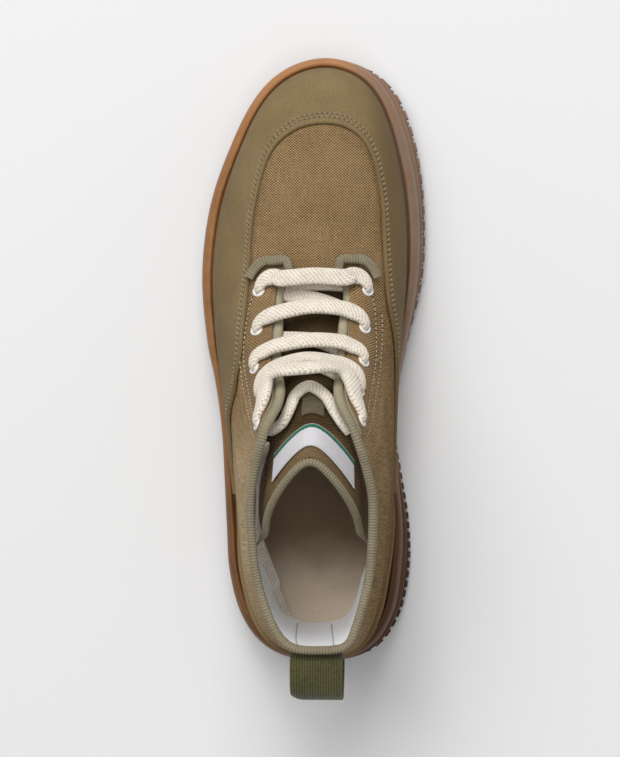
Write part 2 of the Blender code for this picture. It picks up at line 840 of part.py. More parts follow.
def inner_run_mesh(name):
    """Run of lace that lies on the tongue, behind the top bar."""
    sides = np.linspace(-INNER_RUN_SIDE, INNER_RUN_SIDE, BAR_POINTS)
    rows = INNER_RUN_ROW + INNER_RUN_RISE * sides**2
    lift = 2 * CLEARANCE + LACE_THICKNESS / 2
    path = np.array([tongue_point(row, side, lift) for row, side in zip(rows, sides)])
    onto = np.array([tongue_point(row, side) for row, side in zip(rows, sides)])
    return loft(name, ribbon(path, path - onto, [LACE_WIDTH] * BAR_POINTS, LACE_THICKNESS))


# Pull loop


def loop_mesh():
    rings = []
    half = LOOP_THICKNESS / 2
    line = np.array([[0.0, point.y, point.z] for point in PULL_LOOP]) * MM
    count = len(line)
    for index in range(count):
        along = unit(line[(index + 1) % count] - line[index - 1])
        out = np.cross(along, [1.0, 0.0, 0.0]) * half
        middle = line[index] + [LOOP_CENTRE, 0.0, 0.0]
        across = np.array([LOOP_WIDTH / 2, 0.0, 0.0])
        inner, outer = middle - out, middle + out
        rings.append([inner - across, inner + across, outer + across, outer - across])
    return loft("pull_loop", rings, closed_path=True)


def build():
    for leftover in list(bpy.data.objects):
        bpy.data.objects.remove(leftover)
    collection = bpy.data.collections.new("lace_up_ankle_boot")
    bpy.context.scene.collection.children.link(collection)
    frame = bpy.data.objects.new("boot_frame", None)
    collection.objects.link(frame)
    maker = Maker(collection, frame)

    gum = material("gum_rubber", (0.42, 0.17, 0.06), 0.45)
    tread = material("gum_tread", (0.36, 0.14, 0.05), 0.6)
    footbed = material("footbed", (0.55, 0.47, 0.36), 0.9)
    canvas = material("khaki_canvas", (0.19, 0.15, 0.09), 0.9)
    smooth = material("olive_guard", (0.1, 0.09, 0.04), 0.55)
    tape = material("ribbed_tape", (0.22, 0.2, 0.11), 0.85)
    plain = material("tongue_canvas", (0.2, 0.16, 0.1), 0.9)
    label = material("bare_label", (0.75, 0.74, 0.66), 0.8)
    metal = material("eyelet_metal", (0.8, 0.78, 0.72), 0.35, 1.0)
    cotton = material("lace_cotton", (0.72, 0.68, 0.56), 0.95)
    webbing = material("loop_webbing", (0.05, 0.07, 0.03), 0.9)

    maker.add("outsole", outsole_mesh(), tread)
    maker.add("midsole", midsole_mesh(), gum)
    maker.add("insole", insole_mesh(), footbed)
    maker.shell("upper", upper_grid(), canvas, WALL, outward=False, wrap=True)
    guard = guard_grid(GUARD_END, AROUND - GUARD_END, GUARD_ROWS)
    counter = guard_grid(-COUNTER_END, COUNTER_END, COUNTER_ROWS)
    maker.shell("mudguard", guard, smooth, OVERLAY, outward=True)
    maker.shell("heel_counter", counter, smooth, OVERLAY, outward=True)
    maker.shell("eyestay_lateral", facing_grid(False), canvas, OVERLAY, outward=True)
    maker.shell("eyestay_medial", facing_grid(True), canvas, OVERLAY, outward=True)
    maker.tube("collar_binding", binding_path(), tape, BINDING_RADIUS)
    maker.shell("tongue", tongue_grid(), plain, TONGUE_THICKNESS, outward=False)
    maker.tube("tongue_binding", tongue_edge(), tape, TONGUE_BINDING_RADIUS)
    maker.shell("tongue_label", label_grid(), label, LABEL_THICKNESS, outward=True)
    add_eyelets(maker, metal)
    for level, station in enumerate(eyelet_stations(), start=1):
        rise = LOWEST_BAR_RISE if level == 1 else 0.0
        maker.add(f"lace_bar_{level}", bar_mesh(f"lace_bar_{level}", station, rise), cotton)
    maker.add("lace_inner_run", inner_run_mesh("lace_inner_run"), cotton)
    end = smooth_path(np.array(LACE_END) * MM, LACE_END_POINTS)
    maker.tube("lace_end_lateral", end, cotton, LACE_END_RADIUS)
    maker.add("pull_loop", loop_mesh(), webbing)


build()
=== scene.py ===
from collections import namedtuple
from math import pi, radians

import bmesh
import bpy
import numpy as np
from mathutils import Matrix, Vector


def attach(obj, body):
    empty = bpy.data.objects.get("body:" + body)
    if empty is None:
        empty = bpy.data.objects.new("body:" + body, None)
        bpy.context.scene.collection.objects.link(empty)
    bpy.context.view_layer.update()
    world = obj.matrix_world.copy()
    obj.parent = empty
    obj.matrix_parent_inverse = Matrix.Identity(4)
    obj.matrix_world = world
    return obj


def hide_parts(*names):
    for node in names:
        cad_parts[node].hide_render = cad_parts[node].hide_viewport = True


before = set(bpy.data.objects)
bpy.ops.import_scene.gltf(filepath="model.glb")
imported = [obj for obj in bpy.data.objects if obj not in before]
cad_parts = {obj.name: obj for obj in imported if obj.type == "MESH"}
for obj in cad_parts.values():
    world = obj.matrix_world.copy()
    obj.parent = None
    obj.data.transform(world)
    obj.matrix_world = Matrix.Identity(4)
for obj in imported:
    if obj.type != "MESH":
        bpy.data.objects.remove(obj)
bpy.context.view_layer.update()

MM = 0.001
BODY = "root"
SIDES = ("lateral", "medial")


def table(columns, *rows):
    """Rows with named columns."""
    kind = namedtuple("Row", columns)
    return [kind(*row) for row in rows]


# Sizes shared with the solids
WALL = 2.0 * MM
CLEARANCE = 0.3 * MM
BINDING_RADIUS = 2.2 * MM
BINDING_CENTRE = -0.5 * MM
INSOLE_THICKNESS = 4.0 * MM
INSOLE_INSET = 3.2 * MM
TREAD_THICKNESS = 8.7 * MM
LUG_DEPTH = 3.6 * MM
TREAD_NOTCH = 1.3 * MM
LACE_WIDTH = 8.4 * MM
LACE_THICKNESS = 4.4 * MM
LOOP_WIDTH = 25.0 * MM
LOOP_THICKNESS = 1.4 * MM
LOOP_CENTRE = 5.5 * MM
TONGUE_THICKNESS = 2.4 * MM
TONGUE_CENTRE = 3.8 * MM
TONGUE_BINDING_RADIUS = 1.8 * MM

# Sections of the upper from heel to toe, in millimetres
SECTIONS = table(
    "name y lateral medial top_y top_lateral top_medial top_z"
    " flare_lateral flare_medial rise crown drop guard_lateral guard_medial",
    ("heel_back", -138.2, 2.3, 2.3, -132.3, 6.2, 6.2, 125.5, 7, 7, 30, 6, 40, 0.4, 0.4),
    ("heel_curve", -133.4, -17.0, 21.8, -130.3, -7.0, 19.5, 125.5, 6, 6, 30, 5, 40, 0.4, 0.4),
    ("heel_corner", -120.0, -28.2, 32.2, -120.0, -15.5, 25.0, 126.0, 5, 5, 30, 4, 40, 0.38, 0.38),
    ("heel_side", -99.7, -34.4, 36.4, -100.0, -22.3, 30.3, 126.5, 3, 5, 30, 3, 40, 0.32, 0.32),
    ("heel_breast", -77.7, -36.4, 37.6, -80.0, -25.0, 32.4, 130.5, 3, 7, 30, 3, 42, 0.24, 0.24),
    ("waist_rear", -53.7, -38.6, 36.6, -60.0, -25.1, 32.5, 136.5, 3, 11, 30, 3, 45, 0.24, 0.22),
    ("waist", -29.7, -41.0, 35.8, -44.5, -22.6, 29.5, 143.0, 3, 14, 30, 4, 45, 0.31, 0.22),
    ("waist_front", -5.7, -43.8, 37.6, -28.0, -18.0, 24.3, 147.5, 3, 13, 30, 8, 42, 0.43, 0.25),
    ("instep", 16.3, -46.4, 41.6, -13.5, -13.0, 18.3, 134.0, 3, 8, 29, 16, 30, 0.56, 0.33),
    ("ball", 48.3, -47.9, 45.1, 3.5, -16.0, 18.5, 108.0, 3, 4, 27, 22, 20, 0.67, 0.49),
    ("forefoot", 80.3, -44.0, 44.7, 22.0, -15.7, 19.2, 93.0, 3, 3, 26, 30, 20, 0.69, 0.55),
    ("toe_shoulder", 108.3, -34.7, 40.0, 38.0, -15.3, 20.5, 82.0, 3, 3, 29, 42, 15, 0.64, 0.55),
    ("toe_corner", 131.3, -23.2, 32.4, 45.0, -11.0, 17.0, 80.0, 3, 3, 31, 52, 13, 0.55, 0.515),
    ("toe_curve", 143.8, -10.2, 22.0, 46.6, -4.0, 10.5, 80.5, 3, 3, 32, 56, 13, 0.515, 0.5),
    ("toe_tip", 148.6, 6.3, 6.3, 47.0, 3.2, 3.2, 81.0, 3, 3, 32, 57, 13, 0.505, 0.505),
)
STATION = {section.name: index for index, section in enumerate(SECTIONS)}
TOE = len(SECTIONS) - 1
AROUND = 2 * TOE
COLUMNS_PER_SECTION = 12

SOLE_LEVELS = table(
    "y top tread",
    (-155, 31.5, 1.0),
    (-136, 31.0, 0.0),
    (-100, 30.3, 0.0),
    (-58, 28.6, 0.0),
    (-20, 26.4, 4.0),
    (16, 24.8, 0.0),
    (60, 24.0, 0.0),
    (98, 25.0, 0.0),
    (128, 28.0, 3.0),
    (158, 33.5, 8.5),
)
SOLE_EDGES = table(
    "section rim_lateral rim_medial flare_lateral flare_medial",
    ("heel_back", 8.1, 8.1, 0.0, 0.0),
    ("heel_curve", 8.0, 8.5, 0.2, 3.0),
    ("heel_corner", 8.0, 8.0, 0.4, 4.0),
    ("heel_side", 7.4, 7.6, 0.4, 4.6),
    ("heel_breast", 6.8, 7.2, 0.4, 3.6),
    ("waist", 4.9, 5.0, 0.2, 0.4),
    ("waist_front", 5.4, 5.4, 0.2, 0.4),
    ("instep", 7.2, 5.8, 0.4, 0.6),
    ("ball", 8.1, 7.7, 0.4, 2.6),
    ("forefoot", 8.2, 8.3, 0.4, 3.2),
    ("toe_shoulder", 7.9, 8.2, 0.3, 4.6),
    ("toe_corner", 7.6, 8.0, 0.2, 4.4),
    ("toe_tip", 7.3, 7.3, 0.0, 0.0),
)

# Side of the gum rim from its inner lip down: share of rim, share of flare, depth below the sole's top
SIDE_STEPS = table(
    "rim flare depth",
    (0.10, 0.0, 1.0),
    (0.34, 0.0, -0.6),
    (0.42, 0.0, -1.7),
    (0.58, 0.0, -2.0),
    (0.76, 0.0, -1.3),
    (0.90, 0.0, 0.5),
    (0.99, 0.0, 3.2),
    (1.00, 0.1, 6.6),
    (0.97, 0.1, 7.8),
    (0.86, 0.1, 8.5),
    (0.87, 0.2, 9.3),
    (0.97, 0.5, 9.9),
    (1.00, 0.55, 11.0),
)
LOWER_BAND_FLARE = 0.55
LOWER_BAND_RISE = 0.45 * MM
RIM_ROWS = 52
RIM_CAP_COLUMNS = 13

# Cloth measure of the rim for each station and each row, in millimetres
RIM_CLOTH = (20.0, 0.6)

# Lugs: length of each bar along the foot and the gap ahead of it, with a small tooth in the wide gaps
HEEL_LUG, FOREFOOT_LUG = table("bar gap tooth", (3.2, 1.8, 0.0), (4.6, 3.4, 1.3))
HEEL_LUGS_END = -28.0 * MM
TREAD_ENDS = 0.8 * MM
LUG_DRAFT = 0.35 * MM
LUG_SEAT = 0.5 * MM
LUG_ROUND = 0.25 * MM
TOOTH_INSET = 0.5 * MM
TOOTH_REACH = 7.0 * MM
TOOTH_RISE = 0.6 * MM
TREAD_STATIONS = 16
TREAD_GRID = (120, 9)

# Footbed: how far its edge cups up and its middle sinks
FOOTBED_STATIONS = 6
FOOTBED_COLUMNS = 31
FOOTBED_CUP = 2.2 * MM
FOOTBED_DIP = 0.5 * MM

# Lining: padding low down round the heel, by stations from the heel and by share of the wall
HEEL_PAD = 8.0 * MM
PAD_END = 4.6
PAD_FADE = 2.2
PAD_TOP = 0.95
PAD_SLOPE = 0.75

# Trough of the canvas beside the guard's upper edge
LIP_TROUGH = 0.7 * MM
LIP_TROUGH_WIDTH = 1.8 * MM
LIP_TROUGH_FADE = 1.5

APRON = (9.0, 19.0)
WALL_ROWS = 60

# Rolled edge of a sewn-on panel: distance from its edge, and height over the wall
ROLLED_EDGE = table(
    "distance lift",
    (0.00, 0.30),
    (0.10, 0.85),
    (0.35, 1.35),
    (0.75, 1.68),
    (1.20, 1.78),
    (1.80, 1.70),
    (2.60, 1.48),
    (3.40, 1.22),
    (3.90, 1.30),
    (4.40, 1.42),
    (4.90, 1.34),
    (5.50, 1.20),
    (6.20, 1.42),
    (7.50, 1.55),
)
STITCH_ROWS = (3.4, 5.5)
PANEL_ROWS = 20
PANEL_FOOT = 0.004
PANEL_BACK = 0.05 * MM
PANEL_CLOTH = 2.0
GUARD_END = 4.7
COUNTER_END = 4.69
COUNTER_LOW = 0.09
COUNTER_SLOPE = 1.6
COUNTER_ROUND = 0.7

FACING = table(
    "station depth",
    (6.70, 9.0),
    (7.25, 14.0),
    (8.00, 18.5),
    (9.00, 18.6),
    (10.00, 16.6),
    (10.80, 13.0),
    (11.20, 11.5),
    (11.50, 10.2),
    (11.75, 8.6),
    (11.95, 6.0),
)
FACING_COLUMNS = 90
FACING_ROWS = 18
FACING_CROWDING = 1.3
FACING_EDGE = 0.6 * MM
FACING_CORNER = 11.28
FACING_LIFT = 2.0 * MM
FACING_ROLL = 5.0 * MM
FACING_FRONT = 0.06 * MM
FACING_BACK = 0.03 * MM
MEDIAL_SHIFT = 0.12

# Rows of stitches along a facing: distance past its outer edge, first and last station
FACING_STITCHES = table("beyond first last", (-2.0, 6.9, 11.3), (5.6, 7.1, 10.6))
FACING_STITCH_LIFT = 0.1 * MM

# Turn of the tape round a facing's front corner: where, distance from the edge, height
BINDING_TURN = table(
    "station inset lift",
    (12.28, 6.5, 2.9),
    (12.38, 2.5, 3.2),
    (12.30, -1.0, 3.7),
    (12.08, -3.2, 2.0),
)
CORNER_POINTS = 6
COLLAR_POINTS = 70
BINDING_JOIN = 0.15
BINDING_AHEAD = BINDING_RADIUS + 5 * CLEARANCE
BINDING_LIFT = BINDING_RADIUS + 2 * CLEARANCE
EDGE_WRAP = 0.3 * MM
RIB_PITCH = 1.4 * MM
RIB_DEPTH = 0.34 * MM
RIB_POINTS = 5
TAPE_TRIAL_POINTS = 200
TAPE_SIDES = 14
FLAT_ENDS = 20.0 * MM
THIN_ENDS = 16.0 * MM
THINNEST = 0.35

EYELET_PAIRS = 5
EYELET_INSET = 7.8 * MM
EYELET_BASE = FACING_LIFT + 0.1 * MM
LOWEST_EYELET = 10.9
TOP_EYELET = 7.36
THROAT_POINTS = 400

# Section of an eyelet from its hole outward: radius and height over the facing
EYELET_SECTION = table(
    "radius height",
    (1.75, -1.2),
    (1.85, 0.1),
    (2.0, 0.55),
    (2.3, 0.85),
    (2.65, 0.9),
    (3.0, 0.72),
    (3.22, 0.4),
    (3.3, 0.02),
    (2.6, -1.2),
    (1.75, -1.2),
)
EYELET_TURNS = 28
EYELET_DISC = 1.9 * MM
EYELET_DISC_DEPTH = 0.2 * MM

TONGUE = table(
    "y z half back drop",
    (52, 70, 15, -4, 5),
    (40, 78.2, 17, 1, 6),
    (22, 90.2, 19, 4, 9),
    (4, 105.5, 20, 8, 11),
    (-11, 122, 22, 15, 14),
    (-24, 136, 22.5, 24, 18),
    (-34, 149, 23.2, 32, 24),
    (-40, 157, 23.2, 35, 32),
)
TONGUE_TOP = len(TONGUE) - 1
TONGUE_PEAK = 0.58
PEAK_ROUND = 0.02
TONGUE_GRID = (70, 44)
TONGUE_PAD = 0.5 * MM
TONGUE_SEAM = 4.86
TONGUE_SEAM_WIDTH = 0.07
TONGUE_SEAM_DEPTH = 0.8 * MM
LABEL_GRID = (16, 44)
LABEL_ROWS = (5.22, 6.28)
LABEL_SIDES = (-0.50, 0.58)
LABEL_SLANT = 0.42
LABEL_BEND = 0.12
LABEL_LIFT = 0.7 * MM
LABEL_THICKNESS = 0.5 * MM
LABEL_CURL = (0.5 * MM, 0.3 * MM)
TAB_GRID = (40, 14)
TAB_ROWS = (3.95, 4.75)
TAB_SIDES = (-0.13, 0.15)
TAB_LIFT = 0.9 * MM
TAB_BACK = 0.1 * MM
TAB_RIBS = 7
TAB_RIB_DEPTH = 0.12 * MM

# How far the tongue's tape runs on under the collar at either end, in millimetres
TAPE_TUCK = [(-5.2, -7.0, -17.0), (3.8, -6.0, -13.0)]
TONGUE_EDGE_POINTS = 41
TUCKED_EDGE_POINTS = 80
TUCKED_EDGE_EASING = 6

# Bars of lace from the toe up: stations ahead of the eyelets, rise over the bindings, lift and bow at
# the middle, and how much of the eyelets' inset is left beside them
BARS = table(
    "ahead rise lift bow tuck",
    (0.54, 2.2, 0.0, 0.5, 0.72),
    (0.24, 0.0, 0.0, 0.8, 0.72),
    (0.20, 0.0, 0.0, 0.6, 0.72),
    (0.30, 0.0, 0.0, 1.8, 0.55),
    (0.86, 3.2, 2.6, -6.2, 0.36),
)
BAR_POINTS = 90
BAR_EASING = 12
BAR_CROWN = 2.0
LACE_BUNCH_WIDTH = 4.8 * MM
LACE_BUNCH_THICKNESS = 3.4 * MM
LACE_TAPER = 11.0 * MM

# Way of a bar out of its eyelet: share of the bar's lead, share of its tuck, height, share of its rise
BAR_WAY = table("lead tuck height rise", (0.55, 1.0, 2.6, 0.0), (0.88, 0.4, 2.6, 0.5))
BAR_IN_HOLE = (-0.4 * MM, 1.5 * MM)

# Runs of lace on the tongue: side and tongue row of either end
INNER_RUNS = table(
    "side row to_side to_row",
    (-0.80, 1.03, 0.80, 0.98),
    (-0.80, 1.15, 0.80, 1.78),
    (-0.80, 2.25, 0.80, 2.85),
    (-0.80, 2.95, 0.80, 3.55),
)
INNER_RUN_LIFT = 0.5 * MM + LACE_THICKNESS / 2
INNER_RUN_SIZE = (0.95 * LACE_WIDTH, 0.8 * LACE_THICKNESS)
INNER_RUN_STEPS = 40
INNER_RUN_POINTS = 50

# Slack run that stands in an arch over the tongue's tab
ARCH = table(
    "side row",
    (-0.560, 4.55),
    (-0.500, 4.70),
    (-0.337, 4.76),
    (-0.248, 4.45),
    (-0.179, 4.12),
    (-0.030, 3.99),
    (0.135, 4.22),
    (0.246, 4.56),
    (0.348, 4.76),
    (0.450, 4.84),
)
ARCH_LIFT = 1.6 * MM + LACE_THICKNESS / 2
ARCH_WIDTH = 0.72 * LACE_WIDTH
ARCH_POINTS = 80

# The tucked end of the lace: places in millimetres, and the way its broad face looks there
LACE_END = table(
    "x y z face",
    (-18.0, -35.5, 134, (0.7, -0.5, 0.5)),
    (-20.6, -43.0, 122, (0.7, -0.5, 0.5)),
    (-22.8, -51.0, 102, (0.9, -0.2, 0.3)),
    (-25.0, -61.0, 76, (0.95, 0.1, 0.25)),
    (-26.5, -74.0, 54, (0.9, 0.2, 0.35)),
    (-26.0, -87.0, 41.5, (0.6, 0.2, 0.7)),
    (-22.5, -99.0, 37.4, (0.15, 0.1, 1)),
    (-18.0, -109.5, 36.9, (0, 0, 1)),
    (-12.0, -122.5, 37.0, (0, 0, 1)),
)
LACE_END_WIDTH = 7.4 * MM
LACE_END_THICKNESS = 1.9 * MM
LACE_END_POINTS = 90

# Width of the tucked end where it leaves the eyelet, and along its pinched tip
LACE_EXIT = (6 * MM, 5.0 * MM)
LACE_TIP = [(17 * MM, LACE_END_WIDTH), (14 * MM, 4.2 * MM), (0.0, 3.8 * MM)]

PULL_LOOP = table(
    "y z",
    (-134.6, 121.5),
    (-140.0, 125.5),
    (-147.5, 125.0),
    (-153.2, 121.5),
    (-155.2, 116.0),
    (-153.0, 109.0),
    (-147.5, 102.0),
    (-141.5, 97.5),
    (-137.6, 98.0),
    (-136.3, 106.0),
    (-135.2, 114.0),
)
LOOP_COLUMNS = 101
LOOP_POINTS = 161
LOOP_RIB_PITCH = 1.25 * MM
LOOP_RIB_DEPTH = 0.16 * MM
LOOP_EDGE = 0.04
LOOP_EDGE_THICKNESS = 0.25

# Dent in the loop's lateral rear corner: depth, where it begins and how soon it is full
LOOP_DENT = 2.4 * MM
LOOP_DENT_START = -147.5 * MM
LOOP_DENT_FADE = 8.0 * MM

STITCH_PITCH = 2.5 * MM
STITCH_LENGTH = 1.9 * MM
STITCH_RINGS = 7
STITCH_SIDES = 6
THREAD = 0.62 * MM
NEEDLE_HOLE = (0.42 * MM, 0.36 * MM)
NEEDLE_HOLE_LIFT = 0.07 * MM
NEEDLE_HOLE_SIDES = 8
PANEL_LINE_POINTS = 20
SEAM_POINTS = 60
GUARD_SEAM_INSET = 0.1
COUNTER_SEAM_INSET = 0.5
LINING_SEAMS = (0.62, AROUND - 0.5)
LINING_SEAM_SHARES = (0.10, 0.985)
LINING_SEAM_LIFT = 0.05 * MM
LINING_PITCH = 2.2 * MM

# Soft troughs (below zero) and ridges of the worn canvas, as lines over the wall
FOLDS = table(
    "station share to_station to_share depth width",
    (11.7, 0.84, 16.2, 0.86, -0.7, 5.0),
    (11.2, 0.73, 13.0, 0.78, 0.5, 6.0),
    (15.4, 0.74, 16.9, 0.70, -0.5, 5.5),
    (13.2, 0.62, 15.6, 0.60, 0.6, 9.0),
    (6.2, 0.55, 7.6, 0.42, -0.9, 7.0),
    (5.2, 0.60, 6.6, 0.34, 0.7, 8.0),
    (3.6, 0.70, 5.0, 0.52, -0.8, 8.0),
    (21.0, 0.48, 22.4, 0.60, -0.9, 7.0),
    (22.4, 0.40, 23.6, 0.62, 0.7, 8.0),
    (23.6, 0.55, 25.0, 0.72, -0.7, 8.0),
    (26.2, 0.66, 27.4, 0.60, 0.5, 8.0),
    (0.9, 0.05, 4.3, 0.05, -2.2, 20.0),
    (25.3, 0.05, 27.5, 0.05, -2.2, 18.0),
    (2.6, 0.72, 5.6, 0.68, -1.0, 5.0),
    (3.2, 0.56, 6.4, 0.52, 0.9, 6.0),
    (21.6, 0.74, 25.6, 0.78, -1.3, 4.5),
    (22.2, 0.60, 26.0, 0.64, 1.2, 5.0),
    (22.6, 0.46, 26.2, 0.48, -1.2, 6.0),
)
FOLD_POINTS = 24


# Smooth readings of the tables


def unit(vectors):
    return vectors / np.linalg.norm(vectors, axis=-1, keepdims=True)


def dot(a, b):
    return np.sum(a * b, axis=-1, keepdims=True)


def smooth(value):
    """Eased from 0 to 1, and level beyond."""
    way = np.clip(value, 0, 1)
    return way * way * (3 - 2 * way)


def rows_at(rows, at, periodic=False):
    """Rows of a table read at fractional row numbers, smooth through every row."""
    at = np.asarray(at, float)
    low = np.floor(at).astype(int)
    share = (at - low)[..., None]
    near = [low + shift for shift in (-1, 0, 1, 2)]
    if periodic:
        near = [index % len(rows) for index in near]
    else:
        near = [np.clip(index, 0, len(rows) - 1) for index in near]
    before, start, end, after = (rows[index] for index in near)
    return 0.5 * (
        2 * start
        + (end - before) * share
        + (2 * before - 5 * start + 4 * end - after) * share**2
        + (3 * start - before - 3 * end + after) * share**3
    )


def flat_safe(xs, values, x):
    """Smooth reading between table rows that never overshoots."""
    x = np.clip(x, xs[0], xs[-1])
    rise = np.diff(values) / np.diff(xs)
    both = rise[:-1] * rise[1:]
    inner = np.where(both > 0, 2 * both / np.where(both > 0, rise[:-1] + rise[1:], 1.0), 0.0)
    slope = np.concatenate([rise[:1], inner, rise[-1:]])
    low = np.clip(np.searchsorted(xs, x, side="right") - 1, 0, len(xs) - 2)
    span = xs[low + 1] - xs[low]
    s = (x - xs[low]) / span
    return (
        values[low] * (1 - s) ** 2 * (1 + 2 * s)
        + values[low + 1] * s**2 * (3 - 2 * s)
        + span * slope[low] * s * (1 - s) ** 2
        - span * slope[low + 1] * s**2 * (1 - s)
    )


def column_at(rows, x, column):
    """A column in metres, read along the table's first column."""
    xs = np.array([row[0] for row in rows], float)
    values = np.array([getattr(row, column) for row in rows], float)
    return flat_safe(xs, values, x) * MM


def travel(line):
    """Distance covered at each point of a line."""
    return np.concatenate([[0], np.cumsum(np.linalg.norm(np.diff(line[:, :3], axis=0), axis=1))])


def from_ends(line):
    """Distance of each point of a line from the nearer end."""
    far = travel(line)
    return np.minimum(far, far[-1] - far)


def even_line(rows, count, periodic=False):
    """A smooth line through rows whose first three columns are a place, read at even steps."""
    rows = np.array(rows, float)
    last = len(rows) if periodic else len(rows) - 1
    fine = rows_at(rows, np.linspace(0, last, 60 * len(rows)), periodic)
    travelled = travel(fine)
    steps = np.linspace(0, travelled[-1], count)
    return np.column_stack([np.interp(steps, travelled, column) for column in fine.T])


def eased(line, passes):
    """A line with its sharp turns worn away and its ends kept."""
    for _ in range(passes):
        line[1:-1] = (line[:-2] + 2 * line[1:-1] + line[2:]) / 4
    return line


# The upper's own function: stations run round the boot from the heel, shares from the sole up


def boot_loop(lateral, medial):
    """Rows in millimetres from heel to toe on the outer side and back on the inner side, in metres."""
    return MM * np.vstack([lateral, medial[TOE - 1 : 0 : -1]])


def side_row(section, side):
    row = section._asdict()
    plan = [row[side], row["y"], row["top_" + side], row["top_y"], row["top_z"]]
    rib = [row["flare_" + side], row["rise"], row["crown"], row["drop"]]
    return plan + rib + [row["guard_" + side] / MM]


def edge_rows(side):
    known = [STATION[edge.section] for edge in SOLE_EDGES]
    columns = [[getattr(edge, part + side) for edge in SOLE_EDGES] for part in ("rim_", "flare_")]
    return np.column_stack([np.interp(range(TOE + 1), known, column) for column in columns])


STATION_LOOP = boot_loop(*([side_row(section, side) for section in SECTIONS] for side in SIDES))
EDGE_LOOP = boot_loop(*(edge_rows(side) for side in SIDES))
GUARD_COLUMN = 9
STATION_STEP = 0.05
SHARE_STEP = 0.02
WALK_STEPS = 14


def sole_top(y):
    return column_at(SOLE_LEVELS, y / MM, "top")


def sole_tread(y):
    return column_at(SOLE_LEVELS, y / MM, "tread")


def from_heel(station):
    """Stations between a place and the heel, on its own side."""
    return np.minimum(station, AROUND - station)


def feather(station):
    """Where the upper meets the sole in plan, and the direction outward there."""
    here = rows_at(STATION_LOOP, station, True)[..., :2]
    ahead = rows_at(STATION_LOOP, station + STATION_STEP, True)
    along = ahead - rows_at(STATION_LOOP, station - STATION_STEP, True)
    return here, unit(np.stack([-along[..., 1], along[..., 0]], axis=-1))


def wall(station, share):
    """Points of the upper's outer face: share 0 is at the sole and 1 at the top edge."""
    station, share = np.broadcast_arrays(np.asarray(station, float), np.asarray(share, float))
    row = rows_at(STATION_LOOP, station, True)
    plan, outward = feather(station)
    foot = np.concatenate([plan, (sole_top(plan[..., 1]) + CLEARANCE)[..., None]], axis=-1)
    top = row[..., 2:5]
    flare, rise, crown, drop = (row[..., index, None] for index in range(5, 9))
    low = foot + np.concatenate([outward * flare, rise], axis=-1)
    high = top + np.concatenate([unit(foot[..., :2] - top[..., :2]) * crown, -drop], axis=-1)
    up = share[..., None]
    rest = 1 - up
    return rest**3 * foot + 3 * rest**2 * up * low + 3 * rest * up**2 * high + up**3 * top


def round_wall(station, share):
    """How the wall runs round the boot, per station."""
    return (wall(station + STATION_STEP, share) - wall(station - STATION_STEP, share)) / (2 * STATION_STEP)


def up_wall(station, share):
    """How the wall runs up, per share."""
    low = np.maximum(share - SHARE_STEP, 0.0)
    high = np.minimum(share + SHARE_STEP, 1.0)
    return (wall(station, high) - wall(station, low)) / np.asarray(high - low)[..., None]


def wall_normal(station, share):
    return unit(np.cross(up_wall(station, share), round_wall(station, share)))


def edge_out(station):
    """Direction in which the wall runs out past its top edge, square to that edge."""
    top = np.ones_like(station)
    up = up_wall(station, top)
    edge = unit(round_wall(station, top))
    return unit(up - edge * dot(up, edge))


def walk(station, distance):
    """Stations and shares reached by walking down the wall, square to its top edge."""
    station, distance = np.broadcast_arrays(np.asarray(station, float), np.asarray(distance, float))
    share = np.ones_like(station)
    heading = -edge_out(station)
    for _ in range(WALK_STEPS):
        around = round_wall(station, share)
        up = up_wall(station, share)
        normal = unit(np.cross(up, around))
        heading = unit(heading - normal * dot(heading, normal))
        step = heading * distance[..., None] / WALK_STEPS
        aa, au, uu = dot(around, around), dot(around, up), dot(up, up)
        ta, tu = dot(around, step), dot(up, step)
        whole = aa * uu - au * au
        station = station + ((ta * uu - tu * au) / whole)[..., 0]
        share = share + ((tu * aa - ta * au) / whole)[..., 0]
    return station, share


def fold_line(fold):
    way = np.linspace(0, 1, FOLD_POINTS)
    stations = fold.station + (fold.to_station - fold.station) * way
    shares = fold.share + (fold.to_share - fold.share) * way
    return wall(stations, shares)


FOLD_LINES = [(fold, fold_line(fold)) for fold in FOLDS]


def folded(points):
    """How far the canvas stands out of, or sinks under, its plain form."""
    lift = np.zeros(points.shape[:-1])
    for fold, line in FOLD_LINES:
        away = np.linalg.norm(points[..., None, :] - line, axis=-1).min(axis=-1)
        lift += fold.depth * MM * np.exp(-((away / (fold.width * MM)) ** 2))
    return lift


def dressed(station, share, lift):
    """Points over the worn wall at a height above it."""
    points = wall(station, share)
    height = folded(points) + lift
    return points + wall_normal(station, share) * height[..., None]


def over_wall(stations, shares, lift):
    """Line of places over the worn wall and of directions out of it."""
    return np.concatenate([dressed(stations, shares, lift), wall_normal(stations, shares)], axis=-1)


def on_side(station, medial):
    """A station of the outer side, or its mirror on the inner side."""
    return np.asarray(AROUND - station - MEDIAL_SHIFT if medial else station, float)


def facing_depth(station):
    return column_at(FACING, station, "depth")


def lip_share(station, distance, ends=None):
    """Share of the wall at a distance below a panel's upper edge, which may run down towards its ends."""
    lip = rows_at(STATION_LOOP, station, True)[..., GUARD_COLUMN]
    if ends:
        near_end = np.clip((ends - np.abs(station)) / COUNTER_SLOPE, 0, 1)
        lip = COUNTER_LOW + (lip - COUNTER_LOW) * near_end**COUNTER_ROUND
    speed = np.linalg.norm(up_wall(station, lip), axis=-1)
    return lip - distance * MM / speed


# Looks


